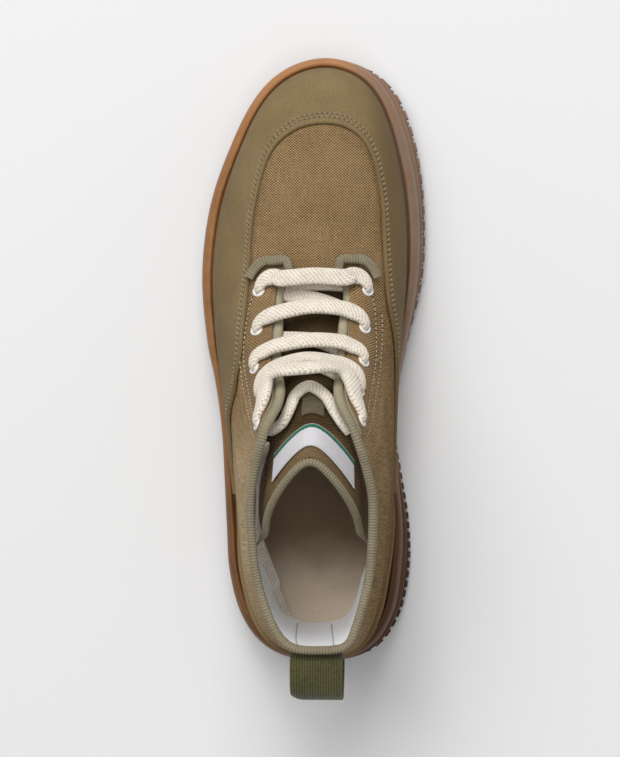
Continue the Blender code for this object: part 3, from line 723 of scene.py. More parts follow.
class Value:
    """A socket of a material, so that formulas on sockets read as plain sums."""

    def __init__(self, look, socket):
        self.look = look
        self.socket = socket

    def __add__(self, other):
        return self.look.math("ADD", self, other)

    def __sub__(self, other):
        return self.look.math("SUBTRACT", self, other)

    def __rsub__(self, other):
        return self.look.math("SUBTRACT", other, self)

    def __mul__(self, other):
        return self.look.math("MULTIPLY", self, other)

    __radd__ = __add__
    __rmul__ = __mul__


# Axis and sign of each way out from the boot's middle
WAYS = {"outer": (0, -1.0), "inner": (0, 1.0), "heel": (1, -1.0), "toe": (1, 1.0), "top": (2, 1.0)}


class Look:
    """One material with its nodes."""

    def __init__(self, name, **constants):
        self.material = bpy.data.materials.new(name)
        self.material.use_nodes = True
        self.tree = self.material.node_tree
        self.shader = self.tree.nodes["Principled BSDF"]
        for socket, value in constants.items():
            title = socket.replace("_", " ").title().replace("Ior", "IOR")
            self.shader.inputs[title].default_value = value

    def node(self, kind, settings, inputs, output=0):
        made = self.tree.nodes.new(kind)
        for key, value in settings.items():
            setattr(made, key, value)
        for key, value in inputs.items():
            self.put(made.inputs[key], value)
        return Value(self, made.outputs[output])

    def put(self, socket, value):
        if isinstance(value, Value):
            self.tree.links.new(value.socket, socket)
        else:
            socket.default_value = value

    def math(self, operation, *values, clamp=False):
        settings = {"operation": operation, "use_clamp": clamp}
        return self.node("ShaderNodeMath", settings, dict(enumerate(values)))

    def shade(self, first, second):
        """A sum held between 0 and 1."""
        return self.math("ADD", first, second, clamp=True)

    def wave(self, value, pitch):
        """Goes between -1 and 1, once for each pitch."""
        return self.math("SINE", value * (2 * pi / pitch))

    def cloth(self):
        """Millimetres along and across the cloth."""
        uv = self.node("ShaderNodeUVMap", {"uv_map": "cloth"}, {})
        return [self.node("ShaderNodeSeparateXYZ", {}, {0: uv}, axis) for axis in (0, 1)]

    def place(self):
        """Place on the object in metres."""
        return self.node("ShaderNodeTexCoord", {}, {}, "Object")

    def distance(self, way):
        """Metres out from the boot's middle in one of its ways."""
        axis, sign = WAYS[way]
        value = self.node("ShaderNodeSeparateXYZ", {}, {0: self.place()}, axis)
        return value if sign > 0 else value * sign

    def ramp(self, value, low, high):
        """Smooth step from 0 to 1 between two values."""
        settings = {"interpolation_type": "SMOOTHSTEP"}
        return self.node("ShaderNodeMapRange", settings, {"Value": value, "From Min": low, "From Max": high})

    def towards(self, way, low, high):
        """Smooth step between two distances from the boot's middle."""
        return self.ramp(self.distance(way), low, high)

    def noise(self, size, detail=2.0, vector=None, roughness=0.5):
        """Cloudy values about 0.5 with features of a given size in millimetres."""
        scale = 1 / size if vector else 1000 / size
        inputs = {"Vector": vector or self.place(), "Scale": scale, "Detail": detail, "Roughness": roughness}
        return self.node("ShaderNodeTexNoise", {}, inputs)

    def swing(self, size, detail=2.0):
        """Cloudy values about 0."""
        return self.noise(size, detail) - 0.5

    def spots(self, size):
        """Distance from scattered points that lie about a size apart."""
        return self.node("ShaderNodeTexVoronoi", {}, {"Vector": self.place(), "Scale": 1000 / size})

    def point(self, x, y):
        return self.node("ShaderNodeCombineXYZ", {}, {0: x, 1: y})

    def mix(self, factor, *colours):
        """Goes from the first colour to the second; a plain colour is red, green and blue."""
        first, second = (each if isinstance(each, Value) else (*each, 1.0) for each in colours)
        return self.node("ShaderNodeMix", {"data_type": "RGBA"}, {0: factor, 6: first, 7: second}, 2)

    def bump(self, height, distance, strength):
        inputs = {"Height": height, "Distance": distance, "Strength": strength}
        self.put(self.shader.inputs["Normal"], self.node("ShaderNodeBump", {}, inputs))

    def surface(self, colour, roughness):
        self.put(self.shader.inputs["Base Color"], colour)
        self.put(self.shader.inputs["Roughness"], roughness)
        return self.material


def canvas_look(name, dark, light, tall=1.35, upright=1.0, pale=None, low=None, side_light=None):
    """Plain-woven cotton canvas: light crossings in a chequer, with slubs; a pale tone lightens its rear with
    painted light, a low tone darkens it low down, and side tones paint light on its outer rear and shade on
    its inner rear.
    """
    look = Look(name, specular_ior_level=0.12)
    u, v = look.cloth()
    drift = look.noise(3.0) * 0.8
    crossings = look.wave(u + drift, 1.55) * look.wave(v + drift, tall)
    long_yarns = look.noise(1.0, vector=look.point(u * 0.1, v * 1.3)) - 0.5
    cross_yarns = look.noise(1.0, vector=look.point(u * 1.3, v * 0.1)) - 0.5
    slub = long_yarns + cross_yarns * upright
    fuzz = look.swing(0.4)
    shade = look.shade(crossings * 0.62 + slub * 0.40 + look.swing(20.0, 3.0) * 0.45, fuzz * 0.6 + 0.5)
    look.bump(crossings * 0.8 + slub * 0.4 + fuzz * 0.3, 0.0005, 0.9)
    colour = look.mix(shade, dark, light)
    # Paler behind, for the lit rear of a canvas darkened with painted shade, as on the tongue.
    if pale:
        behind = look.towards("heel", 0.024, 0.036)
        colour = look.mix(behind * 0.8, colour, look.mix(shade, light, pale))
    if low:
        under = 1.0 - look.towards("top", 0.055, 0.105)
        colour = look.mix(under * 0.65, colour, look.mix(shade, dark, low))
    # Painted light on the outer side's rear, as from a lamp on that side, and painted shade on the inner
    # side's rear.
    if side_light:
        rear = look.towards("heel", 0.010, 0.055)
        outer = look.towards("outer", 0.012, 0.034) * rear
        inner = look.towards("inner", 0.012, 0.034) * rear
        colour = look.mix(outer * 0.5, colour, look.mix(shade, *side_light))
        colour = look.mix(inner * 0.33, colour, dark)
    return look.surface(colour, 0.95 - shade * 0.12)


def guard_look(name, dark, light, deep):
    """Smooth brushed skin with a sandy grain and soft clouds, and painted shade down its flanks, more on the
    inner side.
    """
    look = Look(name, specular_ior_level=0.15)
    grain = look.noise(0.9, 3.0, roughness=0.7) - 0.5
    fine = look.swing(0.3)
    clouds = look.swing(18.0, 3.0) * 0.5 + look.swing(50.0) * 0.5
    shade = look.shade(clouds + grain * 1.1, fine * 0.4 + 0.5)
    # Painted shade down the flanks, stronger on the inner side.
    flank_shade = look.towards("inner", 0.022, 0.042) * 0.55 + look.towards("outer", 0.026, 0.046) * 0.2
    look.bump(fine * 0.4 + grain, 0.00022, 0.6)
    return look.surface(look.mix(flank_shade, look.mix(shade, dark, light), deep), 0.78 - shade * 0.12)


def tape_look(name, dark, light, pale):
    """Grosgrain tape: each rib is round and a little different, and painted light makes the throat's edges
    paler.
    """
    look = Look(name, sheen_weight=0.1, sheen_roughness=0.4, specular_ior_level=0.25)
    u, v = look.cloth()
    ribs = look.wave(u, RIB_PITCH / MM)
    threads = look.wave(v, 0.45)
    uneven = look.swing(0.8)
    wear_and_shade = look.swing(14.0, 3.0)
    shade = look.shade(ribs * 0.16 + threads * 0.08, uneven * 0.8 + wear_and_shade * 0.6 + 0.52)
    # Painted light: paler along the throat, where the facing tape catches more light.
    throat = look.towards("toe", -0.03, 0.0) * (1.0 - look.towards("toe", 0.036, 0.044))
    look.bump(threads * 0.3 + uneven, 0.00015, 0.6)
    return look.surface(look.mix(throat * 0.55, look.mix(shade, dark, light), pale), 0.88)


def lace_look(name, dark, light):
    """Flat tubular cotton lace: small knit loops in a chequer, with fuzz and a little soil."""
    look = Look(name, sheen_weight=0.2, sheen_roughness=0.5, specular_ior_level=0.15)
    u, v = look.cloth()
    drift = look.noise(2.0) * 1.6
    loops = look.wave(u + v * 0.35 + drift, 2.0) * look.wave(v + drift, 1.8)
    pits = look.ramp(loops, 0.25, 0.85)
    fuzz = look.noise(0.6, 3.0, roughness=0.65) - 0.5
    shade = look.shade(pits * -0.30, fuzz * 1.1 + look.swing(7.0) * 0.6 + 0.78)
    look.bump(fuzz * 0.8 - pits * 1.2, 0.0006, 0.9)
    return look.surface(look.mix(shade, dark, light), 0.96)


def gum_look(name, dark, light, deep, rough):
    """Moulded gum rubber: cloudy amber, lighter at the toe, with a painted greyish sheen and painted shade on
    its inner side, and painted shade at the heel.
    """
    look = Look(name, subsurface_weight=0.1, subsurface_scale=0.003, specular_ior_level=0.30)
    look.shader.inputs["Subsurface Radius"].default_value = (1.0, 0.45, 0.2)
    clouds = look.swing(18.0, 3.0)
    streaks = look.swing(4.0)
    fine = look.swing(0.5)
    shade = look.shade(clouds * 1.2 + 0.5, streaks * 0.5 + fine * 0.3)
    inner = look.towards("inner", 0.010, 0.034)
    behind = look.towards("heel", 0.020, 0.075)
    ahead = look.towards("toe", 0.085, 0.145)
    # Painted sheen: a greyish reflection over the inner side ahead of the heel, patchy with the clouds.
    inner_front = inner * (1.0 - behind)
    painted_sheen = inner_front * (look.ramp(clouds, -0.25, 0.1) * 0.25 + 0.48)
    colour = look.mix(ahead * 0.45, look.mix(shade, dark, light), GUM_TOE)
    colour = look.mix(painted_sheen, colour, GUM_SHEEN)
    # Painted shade: darker towards the heel, more on the inner side, and a little along the inner side ahead
    # of it.
    colour = look.mix(behind * (0.55 + inner * 0.35) + inner_front * 0.12, colour, deep)
    look.bump(fine * 0.4 + streaks * 0.6, 0.00012, 0.35)
    return look.surface(colour, rough + streaks * 0.2)


def footbed_look(name, dark, light, wear_and_shade, speck):
    """Felted footbed with scattered specks, and painted shade that darkens it from the waist forward."""
    look = Look(name, specular_ior_level=0.15)
    felt = look.swing(0.5, 3.0)
    clouds = look.swing(20.0, 3.0)
    specks = (1.0 - look.ramp(look.spots(2.6), 0.06, 0.15)) * look.ramp(look.noise(5.0, 1.0), 0.47, 0.55)
    shade = look.shade(felt * 0.5 + 0.5, clouds * 0.7)
    # Painted shade: darker from the waist forward, as under the tongue's shadow.
    ahead = look.ramp(look.distance("toe") + clouds * 0.02, -0.124, -0.078)
    colour = look.mix(ahead * 0.92, look.mix(shade, dark, light), wear_and_shade)
    look.bump(felt, 0.0002, 0.5)
    return look.surface(look.mix(specks * 0.5, colour, speck), 0.93)


def lining_look(name, dark, light):
    """Close twill lining."""
    look = Look(name, sheen_weight=0.9, sheen_roughness=0.6, specular_ior_level=0.25)
    u, v = look.cloth()
    twill = look.wave(u + v * 0.6, 0.7)
    fine = look.swing(0.6)
    shade = look.shade(twill * 0.18 + 0.55, fine * 0.4 + look.swing(18.0) * 0.5)
    look.bump(twill * 0.4 + fine * 0.5, 0.00015, 0.5)
    return look.surface(look.mix(shade, dark, light), 0.9)


def label_look(name, white, shadow, green):
    """White woven label with a coloured upper edge."""
    look = Look(name, sheen_weight=0.1, specular_ior_level=0.4)
    u, v = look.cloth()
    picks = look.wave(v, 0.5) * look.wave(u, 0.35)
    fine = look.swing(0.7)
    shade = look.shade(picks * 0.2 + 0.6, fine * 0.5)
    edge = (1.0 - look.ramp(v + fine * 0.9, 2.4, 2.7)) * look.ramp(v, 0.15, 0.3)
    look.bump(picks * 0.5 + fine * 0.4, 0.00012, 0.5)
    return look.surface(look.mix(edge, look.mix(shade, shadow, white), green), 0.62)


def webbing_look(name, dark, light):
    """Ribbed webbing: close ribs along it, crossed by fine picks."""
    look = Look(name, sheen_weight=0.3, sheen_roughness=0.4, specular_ior_level=0.3)
    u, v = look.cloth()
    ribs = look.wave(v, LOOP_RIB_PITCH / MM)
    picks = look.wave(u, 0.9)
    uneven = look.swing(1.2, 3.0)
    shade = look.shade(ribs * 0.22 + picks * 0.2, uneven * 0.8 + look.swing(12.0) * 0.6 + 0.5)
    look.bump(picks * 0.4 + ribs * 0.4 + uneven * 0.5, 0.0003, 0.7)
    return look.surface(look.mix(shade, dark, light), 0.85)


def thread_look(name, dark, light):
    """Twisted sewing thread."""
    look = Look(name, sheen_weight=0.3, specular_ior_level=0.3)
    u, v = look.cloth()
    twist = look.wave(u + v * 2.0, 0.5)
    shade = look.shade(twist * 0.3 + 0.5, look.swing(6.0) * 0.8)
    look.bump(twist, 0.0001, 0.5)
    return look.surface(look.mix(shade, dark, light), 0.75)


def enamel_look(name, dark, light):
    """Enamelled metal with small scuffs."""
    look = Look(name, specular_ior_level=0.6, coat_weight=0.2)
    scuffs = look.noise(1.2, 3.0)
    shade = look.shade(scuffs * 1.2 - 0.1, look.swing(0.3) * 0.3)
    look.bump(scuffs, 0.00005, 0.4)
    return look.surface(look.mix(shade, dark, light), 0.42 - scuffs * 0.2)


def plain_look(name, dark, light, size, roughness, specular):
    """Nearly even surface with faint clouds."""
    look = Look(name, specular_ior_level=specular)
    return look.surface(look.mix(look.noise(size), dark, light), roughness)


GUM_TOE = (0.520, 0.240, 0.095)
# Greyish tone of the painted sheen on the gum's inner side.
GUM_SHEEN = (0.245, 0.178, 0.135)
LOOKS = {
    "canvas": canvas_look("apron_canvas", (0.092, 0.052, 0.019), (0.485, 0.322, 0.160)),
    # The quarter's side tones are painted light for its outer rear; its inner rear takes painted shade.
    "quarter": canvas_look(
        "quarter_canvas", (0.085, 0.048, 0.016), (0.640, 0.425, 0.205), tall=2.7, upright=3.5,
        low=(0.200, 0.104, 0.027), side_light=((0.400, 0.285, 0.155), (0.840, 0.680, 0.450)),
    ),
    # Painted shade: the tongue's canvas is far darker than the apron's, for the shade under the laces and
    # collar, and paler towards its top rear where light reaches it.
    "tongue": canvas_look(
        "tongue_canvas", (0.026, 0.015, 0.005), (0.130, 0.082, 0.038), pale=(0.330, 0.225, 0.115),
    ),
    # The guard's third tone is painted shade for its flanks.
    "guard": guard_look(
        "brushed_guard", (0.122, 0.083, 0.034), (0.278, 0.200, 0.097), (0.125, 0.074, 0.022),
    ),
    "tape": tape_look("ribbed_tape", (0.120, 0.102, 0.060), (0.320, 0.275, 0.185), (0.480, 0.420, 0.290)),
    # Painted shade: the tab is a darker copy of the ribbed tape, for the shade under the lace arch.
    "tab": tape_look("tab_tape", (0.050, 0.041, 0.022), (0.165, 0.135, 0.080), (0.100, 0.080, 0.048)),
    "lace": lace_look("woven_lace", (0.46, 0.38, 0.285), (0.93, 0.845, 0.725)),
    # The gum's and lugs' deepest tones are painted shade, for the heel and the inner side.
    "gum": gum_look("gum_rim", (0.170, 0.070, 0.020), (0.365, 0.170, 0.058), (0.062, 0.020, 0.005), 0.50),
    "tread": gum_look("gum_lugs", (0.105, 0.034, 0.012), (0.215, 0.080, 0.030), (0.040, 0.014, 0.006), 0.55),
    # The footbed's darker third tone is painted shade, laid from the waist forward under the tongue.
    "footbed": footbed_look(
        "footbed_felt", (0.61, 0.485, 0.355), (0.85, 0.73, 0.575),
        wear_and_shade=(0.128, 0.075, 0.041), speck=(0.12, 0.075, 0.045),
    ),
    "lining": lining_look("white_lining", (0.86, 0.855, 0.87), (0.97, 0.97, 0.985)),
    "label": label_look("bare_label", (0.76, 0.75, 0.775), (0.46, 0.44, 0.46), (0.012, 0.125, 0.072)),
    "webbing": webbing_look("olive_webbing", (0.018, 0.018, 0.005), (0.112, 0.106, 0.035)),
    "thread": thread_look("tan_thread", (0.17, 0.132, 0.077), (0.40, 0.325, 0.21)),
    "pale_thread": thread_look("pale_thread", (0.27, 0.21, 0.125), (0.54, 0.44, 0.29)),
    "grey_thread": thread_look("grey_thread", (0.36, 0.35, 0.36), (0.58, 0.57, 0.58)),
    "enamel": enamel_look("white_enamel", (0.55, 0.54, 0.52), (0.88, 0.87, 0.85)),
    # Dark look of painted shade for the insides of eyelet holes and needle holes.
    "hole": plain_look("hole_painted_shade", (0.006, 0.005, 0.004), (0.02, 0.016, 0.012), 0.8, 0.9, 0.1),
    "floor": plain_look("pale_floor", (0.736, 0.736, 0.738), (0.754, 0.754, 0.756), 300.0, 1.0, 0.0),
}


# Meshes


def cloth_grid(along, across):
    """Two measures of the cloth for every point of a grid."""
    return np.stack(np.broadcast_arrays(along, across), axis=-1)


class Piece:
    """Grids of points that are joined into one mesh with its looks."""

    def __init__(self, *looks):
        self.looks = looks
        self.points, self.cloth, self.faces, self.which = [], [], [], []
        self.count = 0

    def add(self, points, cloth, faces, look=None):
        """Points with their faces, in one of the piece's looks or else in its first."""
        self.points.append(points)
        self.cloth.append(cloth)
        self.faces.append(faces + self.count)
        self.which.append(np.full(len(faces), self.looks.index(look) if look else 0))
        self.count += len(points)

    def grid(self, points, cloth, look=None):
        rows, columns = points.shape[:2]
        index = np.arange(rows * columns).reshape(rows, columns)
        corners = [index[:-1, :-1], index[:-1, 1:], index[1:, 1:], index[1:, :-1]]
        flat = np.broadcast_to(cloth, (rows, columns, 2)).reshape(-1, 2)
        self.add(points.reshape(-1, 3), flat, np.stack(corners, axis=-1).reshape(-1, 4), look)

    def rim(self, front, back, cloth, look=None):
        """A strip between two edges."""
        self.grid(np.stack([front, back]), np.stack([cloth] * 2), look)

    def slab(self, front, back, cloth, rim_look=None):
        """A front and a back face with the rims between them."""
        self.grid(front, cloth)
        self.grid(back[:, ::-1], cloth[:, ::-1])
        for axis, end in ((0, 0), (0, -1), (1, 0), (1, -1)):
            self.rim(*(np.take(part, end, axis) for part in (front, back, cloth)), rim_look)

    def sweep(self, line, widths, thicknesses, sides=20, power=0.7):
        """A cord of any flatness along a line of places and of directions out of its broad face."""
        place, out = line[:, :3], line[:, 3:6]
        along = unit(np.gradient(place, axis=0))
        across = unit(np.cross(along, out))
        out = np.cross(across, along)
        turn = np.linspace(0, 2 * pi, sides + 1)
        c, s = (np.sign(part) * np.abs(part) ** power for part in (np.cos(turn), np.sin(turn)))
        half = np.broadcast_to(widths, len(line))[:, None, None] / 2
        deep = np.broadcast_to(thicknesses, len(line))[:, None, None] / 2
        points = place[:, None] + across[:, None] * half * c[:, None] + out[:, None] * deep * s[:, None]
        cloth = cloth_grid(travel(line)[:, None] / MM, half[:, :, 0] / MM * c)
        start, stop = (np.broadcast_to(place[end], points[:1].shape) for end in (0, -1))
        points = np.concatenate([start, points, stop])
        self.grid(points, np.concatenate([cloth[:1], cloth, cloth[-1:]]))

    def stamp(self, shape, faces, places, axes, look=None):
        """One small shape set down at many places; axes holds its three directions at each."""
        for points in places[:, None] + np.einsum("nk,mkj->mnj", shape, axes):
            self.add(points, shape[:, :2] / MM, faces, look)

    def done(self, name, nodes=(), slot=None, sharp=50):
        mesh = bpy.data.meshes.new(name)
        points, faces = np.concatenate(self.points), np.concatenate(self.faces)
        mesh.from_pydata(points.tolist(), [], faces.tolist())
        loops = np.empty(len(mesh.loops), int)
        mesh.loops.foreach_get("vertex_index", loops)
        mesh.uv_layers.new(name="cloth").data.foreach_set("uv", np.concatenate(self.cloth)[loops].ravel())
        mesh.polygons.foreach_set("material_index", np.concatenate(self.which))
        work = bmesh.new()
        work.from_mesh(mesh)
        bmesh.ops.remove_doubles(work, verts=work.verts, dist=1e-6)
        bmesh.ops.dissolve_degenerate(work, edges=work.edges, dist=1e-7)
        bmesh.ops.recalc_face_normals(work, faces=work.faces)
        work.to_mesh(mesh)
        work.free()
        mesh.shade_smooth()
        mesh.set_sharp_from_angle(angle=radians(sharp))
        for look in self.looks:
            mesh.materials.append(LOOKS[look])
        made = bpy.data.objects.new(name, mesh)
        bpy.context.scene.collection.objects.link(made)
        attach(made, BODY)
        if nodes:
            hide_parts(*nodes)
        return made


# Sole


def round_boot(per_section=COLUMNS_PER_SECTION):
    return np.linspace(0, AROUND, AROUND * per_section + 1)


def sole_line(station, rim_share, flare_share):
    plan, outward = feather(station)
    edge = rows_at(EDGE_LOOP, station, True)
    reach = edge[..., :1] * rim_share + edge[..., 1:] * flare_share
    return plan + outward * reach


def halves(ring):
    """Outer and inner half of a ring round the boot, both from heel to toe."""
    half = (len(ring) - 1) // 2
    return ring[: half + 1], ring[half:][::-1]


def across_boot(ring, count):
    """Grid across a ring round the boot."""
    outer, inner = halves(ring)
    way = np.linspace(0, 1, count)[None, :, None]
    return outer[:, None] * (1 - way) + inner[:, None] * way


def make_rim():
    piece = Piece("gum")
    station = round_boot()
    rows = []
    for rim, flare, depth in rows_at(np.array(SIDE_STEPS), np.linspace(0, len(SIDE_STEPS) - 1, RIM_ROWS)):
        plan = sole_line(station, rim, flare)
        rows.append(np.column_stack([plan, sole_top(plan[:, 1]) - depth * MM]))
    plan = sole_line(station, 1.0, LOWER_BAND_FLARE)
    low = sole_tread(plan[:, 1]) + TREAD_THICKNESS + LOWER_BAND_RISE
    last = rows[-1][:, 2]
    for way in (0.5, 1.0):
        rows.append(np.column_stack([plan, last + (low - last) * way]))
    grid = np.array(rows)
    piece.grid(grid, cloth_grid(station[None] * RIM_CLOTH[0], np.arange(len(rows))[:, None] * RIM_CLOTH[1]))
    for ring in (grid[0], grid[-1]):
        cap = across_boot(ring, RIM_CAP_COLUMNS)
        piece.grid(cap, cap[..., :2] / MM)
    return piece.done("gum_rim", ["midsole"], "gum_rubber")


def block(span, heights, ends):
    """Six-sided lug between two lines across the foot, narrower underneath by its draft."""
    corners = []
    for z, inset in zip(heights, (LUG_DRAFT, 0.0)):
        for y, (left, right) in zip((span[0] + inset, span[1] - inset), ends):
            corners += [(left + inset, y, z), (right - inset, y, z)]
    faces = [(0, 1, 3, 2), (4, 6, 7, 5), (0, 4, 5, 1), (2, 3, 7, 6), (0, 2, 6, 4), (1, 5, 7, 3)]
    return np.array(corners), np.array(corners)[:, :2] / MM, np.array(faces)


def make_tread():
    piece = Piece("tread")
    outer, inner = halves(sole_line(round_boot(TREAD_STATIONS), 1.0, 1.0))
    rear, front = outer[0, 1] + TREAD_ENDS, outer[-1, 1] - TREAD_ENDS

    def ends(y, notch=0.0):
        left = np.interp(y, outer[:, 1], outer[:, 0]) + notch
        return left, np.interp(y, inner[:, 1], inner[:, 0]) - notch

    along = np.linspace(rear, front, TREAD_GRID[0])
    way = np.linspace(0, 1, TREAD_GRID[1])
    sides = np.array([ends(y, TREAD_NOTCH) for y in along])
    wide = sides[:, :1] * (1 - way) + sides[:, 1:] * way
    deep, tread = (np.broadcast_to(part[:, None], wide.shape) for part in (along, sole_tread(along)))
    under, upper = (np.stack([wide, deep, tread + rise], axis=-1) for rise in (LUG_DEPTH, TREAD_THICKNESS))
    piece.slab(under, upper, under[..., :2] / MM)
    y = rear
    while y < front - 1.0 * MM:
        lug = HEEL_LUG if y < HEEL_LUGS_END else FOREFOOT_LUG
        stop = min(y + lug.bar * MM, front)
        level = float(sole_tread(np.array((y + stop) / 2)))
        top = level + TREAD_THICKNESS - LUG_SEAT
        piece.add(*block((y, stop), (level, top), (ends(y), ends(stop))))
        if lug.tooth and stop + lug.gap * MM < front:
            middle = stop + lug.gap * MM / 2
            span = (middle - lug.tooth * MM / 2, middle + lug.tooth * MM / 2)
            edges = [ends(each, TOOTH_INSET) for each in span]
            lefts = [(left, left + TOOTH_REACH) for left, right in edges]
            rights = [(right - TOOTH_REACH, right) for left, right in edges]
            for pairs in (lefts, rights):
                piece.add(*block(span, (level + TOOTH_RISE, top), pairs))
        y = stop + lug.gap * MM
    made = piece.done("gum_lugs", ["outsole"], "gum_tread", sharp=35)
    soft = made.modifiers.new("rounded lugs", "BEVEL")
    soft.width = LUG_ROUND
    soft.segments = 2
    soft.angle_limit = radians(40)
    return made


def make_footbed():
    piece = Piece("footbed")
    plan, outward = feather(round_boot(FOOTBED_STATIONS))
    ring = plan - outward * INSOLE_INSET
    flat = across_boot(np.column_stack([ring, np.zeros(len(ring))]), FOOTBED_COLUMNS)
    side = np.broadcast_to(np.abs(np.linspace(-1, 1, FOOTBED_COLUMNS)), flat.shape[:2]).copy()
    side[[0, -1]] = 1.0
    base = sole_top(flat[..., 1]) + CLEARANCE
    cup = FOOTBED_CUP * side**6 - FOOTBED_DIP * (1 - side**2)
    top, under = flat.copy(), flat.copy()
    top[..., 2] = base + INSOLE_THICKNESS + cup
    under[..., 2] = base
    piece.slab(top, under, flat[..., :2] / MM)
    return piece.done("footbed", ["insole"], "footbed")


# Upper


def wall_cloth(station, shares):
    """Millimetres along and up the side of the upper."""
    along = travel(wall(station, np.full_like(station, 0.5))) / MM
    grid = wall(station[None], shares[:, None])
    rise = np.linalg.norm(np.diff(grid, axis=0), axis=-1)
    up = np.concatenate([np.zeros((1, len(station))), np.cumsum(rise, axis=0)]) / MM
    return cloth_grid(along, up)


def heel_pad(station, share):
    """Thickness that the lining gains low down round the heel."""
    behind = smooth((PAD_END - from_heel(station)) / PAD_FADE)
    return HEEL_PAD * behind * smooth((PAD_TOP - share) / PAD_SLOPE)


def lip_trough(station, share):
    """How far the canvas sinks beside the guard's upper edge."""
    above = (share - lip_share(station, 0.0)) * np.linalg.norm(up_wall(station, share), axis=-1)
    inside = np.clip((from_heel(station) - GUARD_END) / LIP_TROUGH_FADE, 0, 1)
    return -LIP_TROUGH * np.exp(-((above / LIP_TROUGH_WIDTH) ** 2)) * inside


def columns_between(first, last):
    return np.linspace(first, last, int(round((last - first) * COLUMNS_PER_SECTION)) + 1)


def make_upper():
    piece = Piece("canvas", "lining", "quarter")
    shares = np.linspace(0, 1, WALL_ROWS + 1)

    def outer_face(station):
        return dressed(station[None], shares[:, None], lip_trough(station[None], shares[:, None]))

    for span in ((0.0, APRON[0]), APRON, (APRON[1], float(AROUND))):
        station = columns_between(*span)
        points = outer_face(station)
        if span == APRON:
            piece.grid(points, points[..., :2] / MM, "canvas")
        else:
            piece.grid(points, wall_cloth(station, shares), "quarter")
    station = round_boot()
    front = outer_face(station)
    back = dressed(station[None], shares[:, None], -WALL - heel_pad(station[None], shares[:, None]))
    cloth = wall_cloth(station, shares)
    piece.grid(back, cloth, "lining")
    for end, look in ((0, "lining"), (-1, "quarter")):
        piece.rim(front[end], back[end], cloth[end], look)
    return piece.done("canvas_upper", ["upper"], "khaki_canvas")


def make_panel(name, node, first, last, ends=None):
    """Guard or counter: from under the sole's lip up to a rolled, stitched edge."""
    piece = Piece("guard")
    station = columns_between(first, last)
    shares = [lip_share(station, step.distance, ends) for step in ROLLED_EDGE]
    lifts = [step.lift for step in ROLLED_EDGE] + [ROLLED_EDGE[-1].lift] * PANEL_ROWS
    lowest = shares[-1]
    for way in np.linspace(0, 1, PANEL_ROWS + 1)[1:]:
        shares.append(lowest * (1 - way) + PANEL_FOOT * way)
    shares, lifts = np.array(shares), np.array(lifts)[:, None] * MM
    stations = np.broadcast_to(station, shares.shape)
    front = dressed(stations, shares, lifts)
    back = dressed(stations, shares, PANEL_BACK)
    rows = np.arange(len(shares))[:, None]
    piece.slab(front, back, cloth_grid(travel(front[0])[None] / MM, rows * PANEL_CLOTH))
    return piece.done(name, [node], "olive_guard")


def facing_lift(distance):
    """Height of the facing at a distance from its outer edge."""
    return FACING_LIFT * np.clip(distance / FACING_ROLL, 0.0, 1.0) ** 0.5


def make_facing(side):
    piece = Piece("canvas", "tape")
    station = np.linspace(FACING[0].station, FACING[-1].station, FACING_COLUMNS)
    way = np.linspace(0, 1, FACING_ROWS + 1)[:, None] ** FACING_CROWDING
    depth = facing_depth(station)
    inset = depth + (FACING_EDGE - depth) * way
    places = walk(np.broadcast_to(on_side(station, side == "medial"), inset.shape), inset)
    front = dressed(*places, facing_lift(depth - inset) + FACING_FRONT)
    back = dressed(*places, FACING_BACK)
    piece.slab(front, back, cloth_grid(travel(front[-1])[None] / MM, inset / MM), rim_look="tape")
    return piece.done("facing_" + side, ["eyestay_" + side], "khaki_canvas")


def binding_corner(medial):
    """Tape round the front corner of a facing, up to the throat's edge."""
    station = np.linspace(FACING_CORNER, FACING[-1].station, CORNER_POINTS)
    places = walk(on_side(station, medial), facing_depth(station) + BINDING_AHEAD)
    line = list(over_wall(*places, BINDING_LIFT))
    for turn in BINDING_TURN:
        edge = on_side(turn.station, medial)
        here = over_wall(*walk(edge, max(turn.inset, 0.0) * MM), turn.lift * MM)
        here[:3] -= edge_out(edge) * min(turn.inset, 0.0) * MM
        line.append(here)
    return line


def binding_rows():
    """Tape from one facing's corner round the collar to the other's."""
    last = FACING[-1].station - BINDING_JOIN
    station = np.linspace(last, MEDIAL_SHIFT - last, COLLAR_POINTS)
    rim = over_wall(station, np.ones_like(station), BINDING_CENTRE)
    rim[:, :3] += edge_out(station) * (BINDING_RADIUS - EDGE_WRAP)
    return binding_corner(False) + list(rim) + binding_corner(True)[::-1]


def ribbed_cord(name, node, rows, radius, flat_ends=0.0, thin_ends=0.0):
    """Folded ribbed tape as a cord with a rib at every pitch; its ends may lie flatter or run out thin."""
    piece = Piece("tape")
    length = travel(even_line(rows, TAPE_TRIAL_POINTS))[-1]
    line = even_line(rows, int(length / RIB_PITCH) * RIB_POINTS)
    phase = travel(line) / RIB_PITCH * 2 * pi
    corner = np.clip(1.3 - from_ends(line) / flat_ends, 0, 1) if flat_ends else 0.0
    size = 2 * radius + RIB_DEPTH * (1 - 0.8 * corner) * (np.sin(phase) - 0.2)
    if thin_ends:
        size = size * np.clip(from_ends(line) / thin_ends, THINNEST, 1)
    piece.sweep(line, size * (1.04 + 0.2 * corner), size * (0.94 - 0.25 * corner), TAPE_SIDES, power=0.85)
    return piece.done(name, [node], "ribbed_tape")


# Tongue


def peaked(fall):
    """How far back the tongue's sides lie, so that its top edge comes to a rounded peak."""
    lowest = PEAK_ROUND**TONGUE_PEAK
    return ((fall + PEAK_ROUND) ** TONGUE_PEAK - lowest) / ((1 + PEAK_ROUND) ** TONGUE_PEAK - lowest)


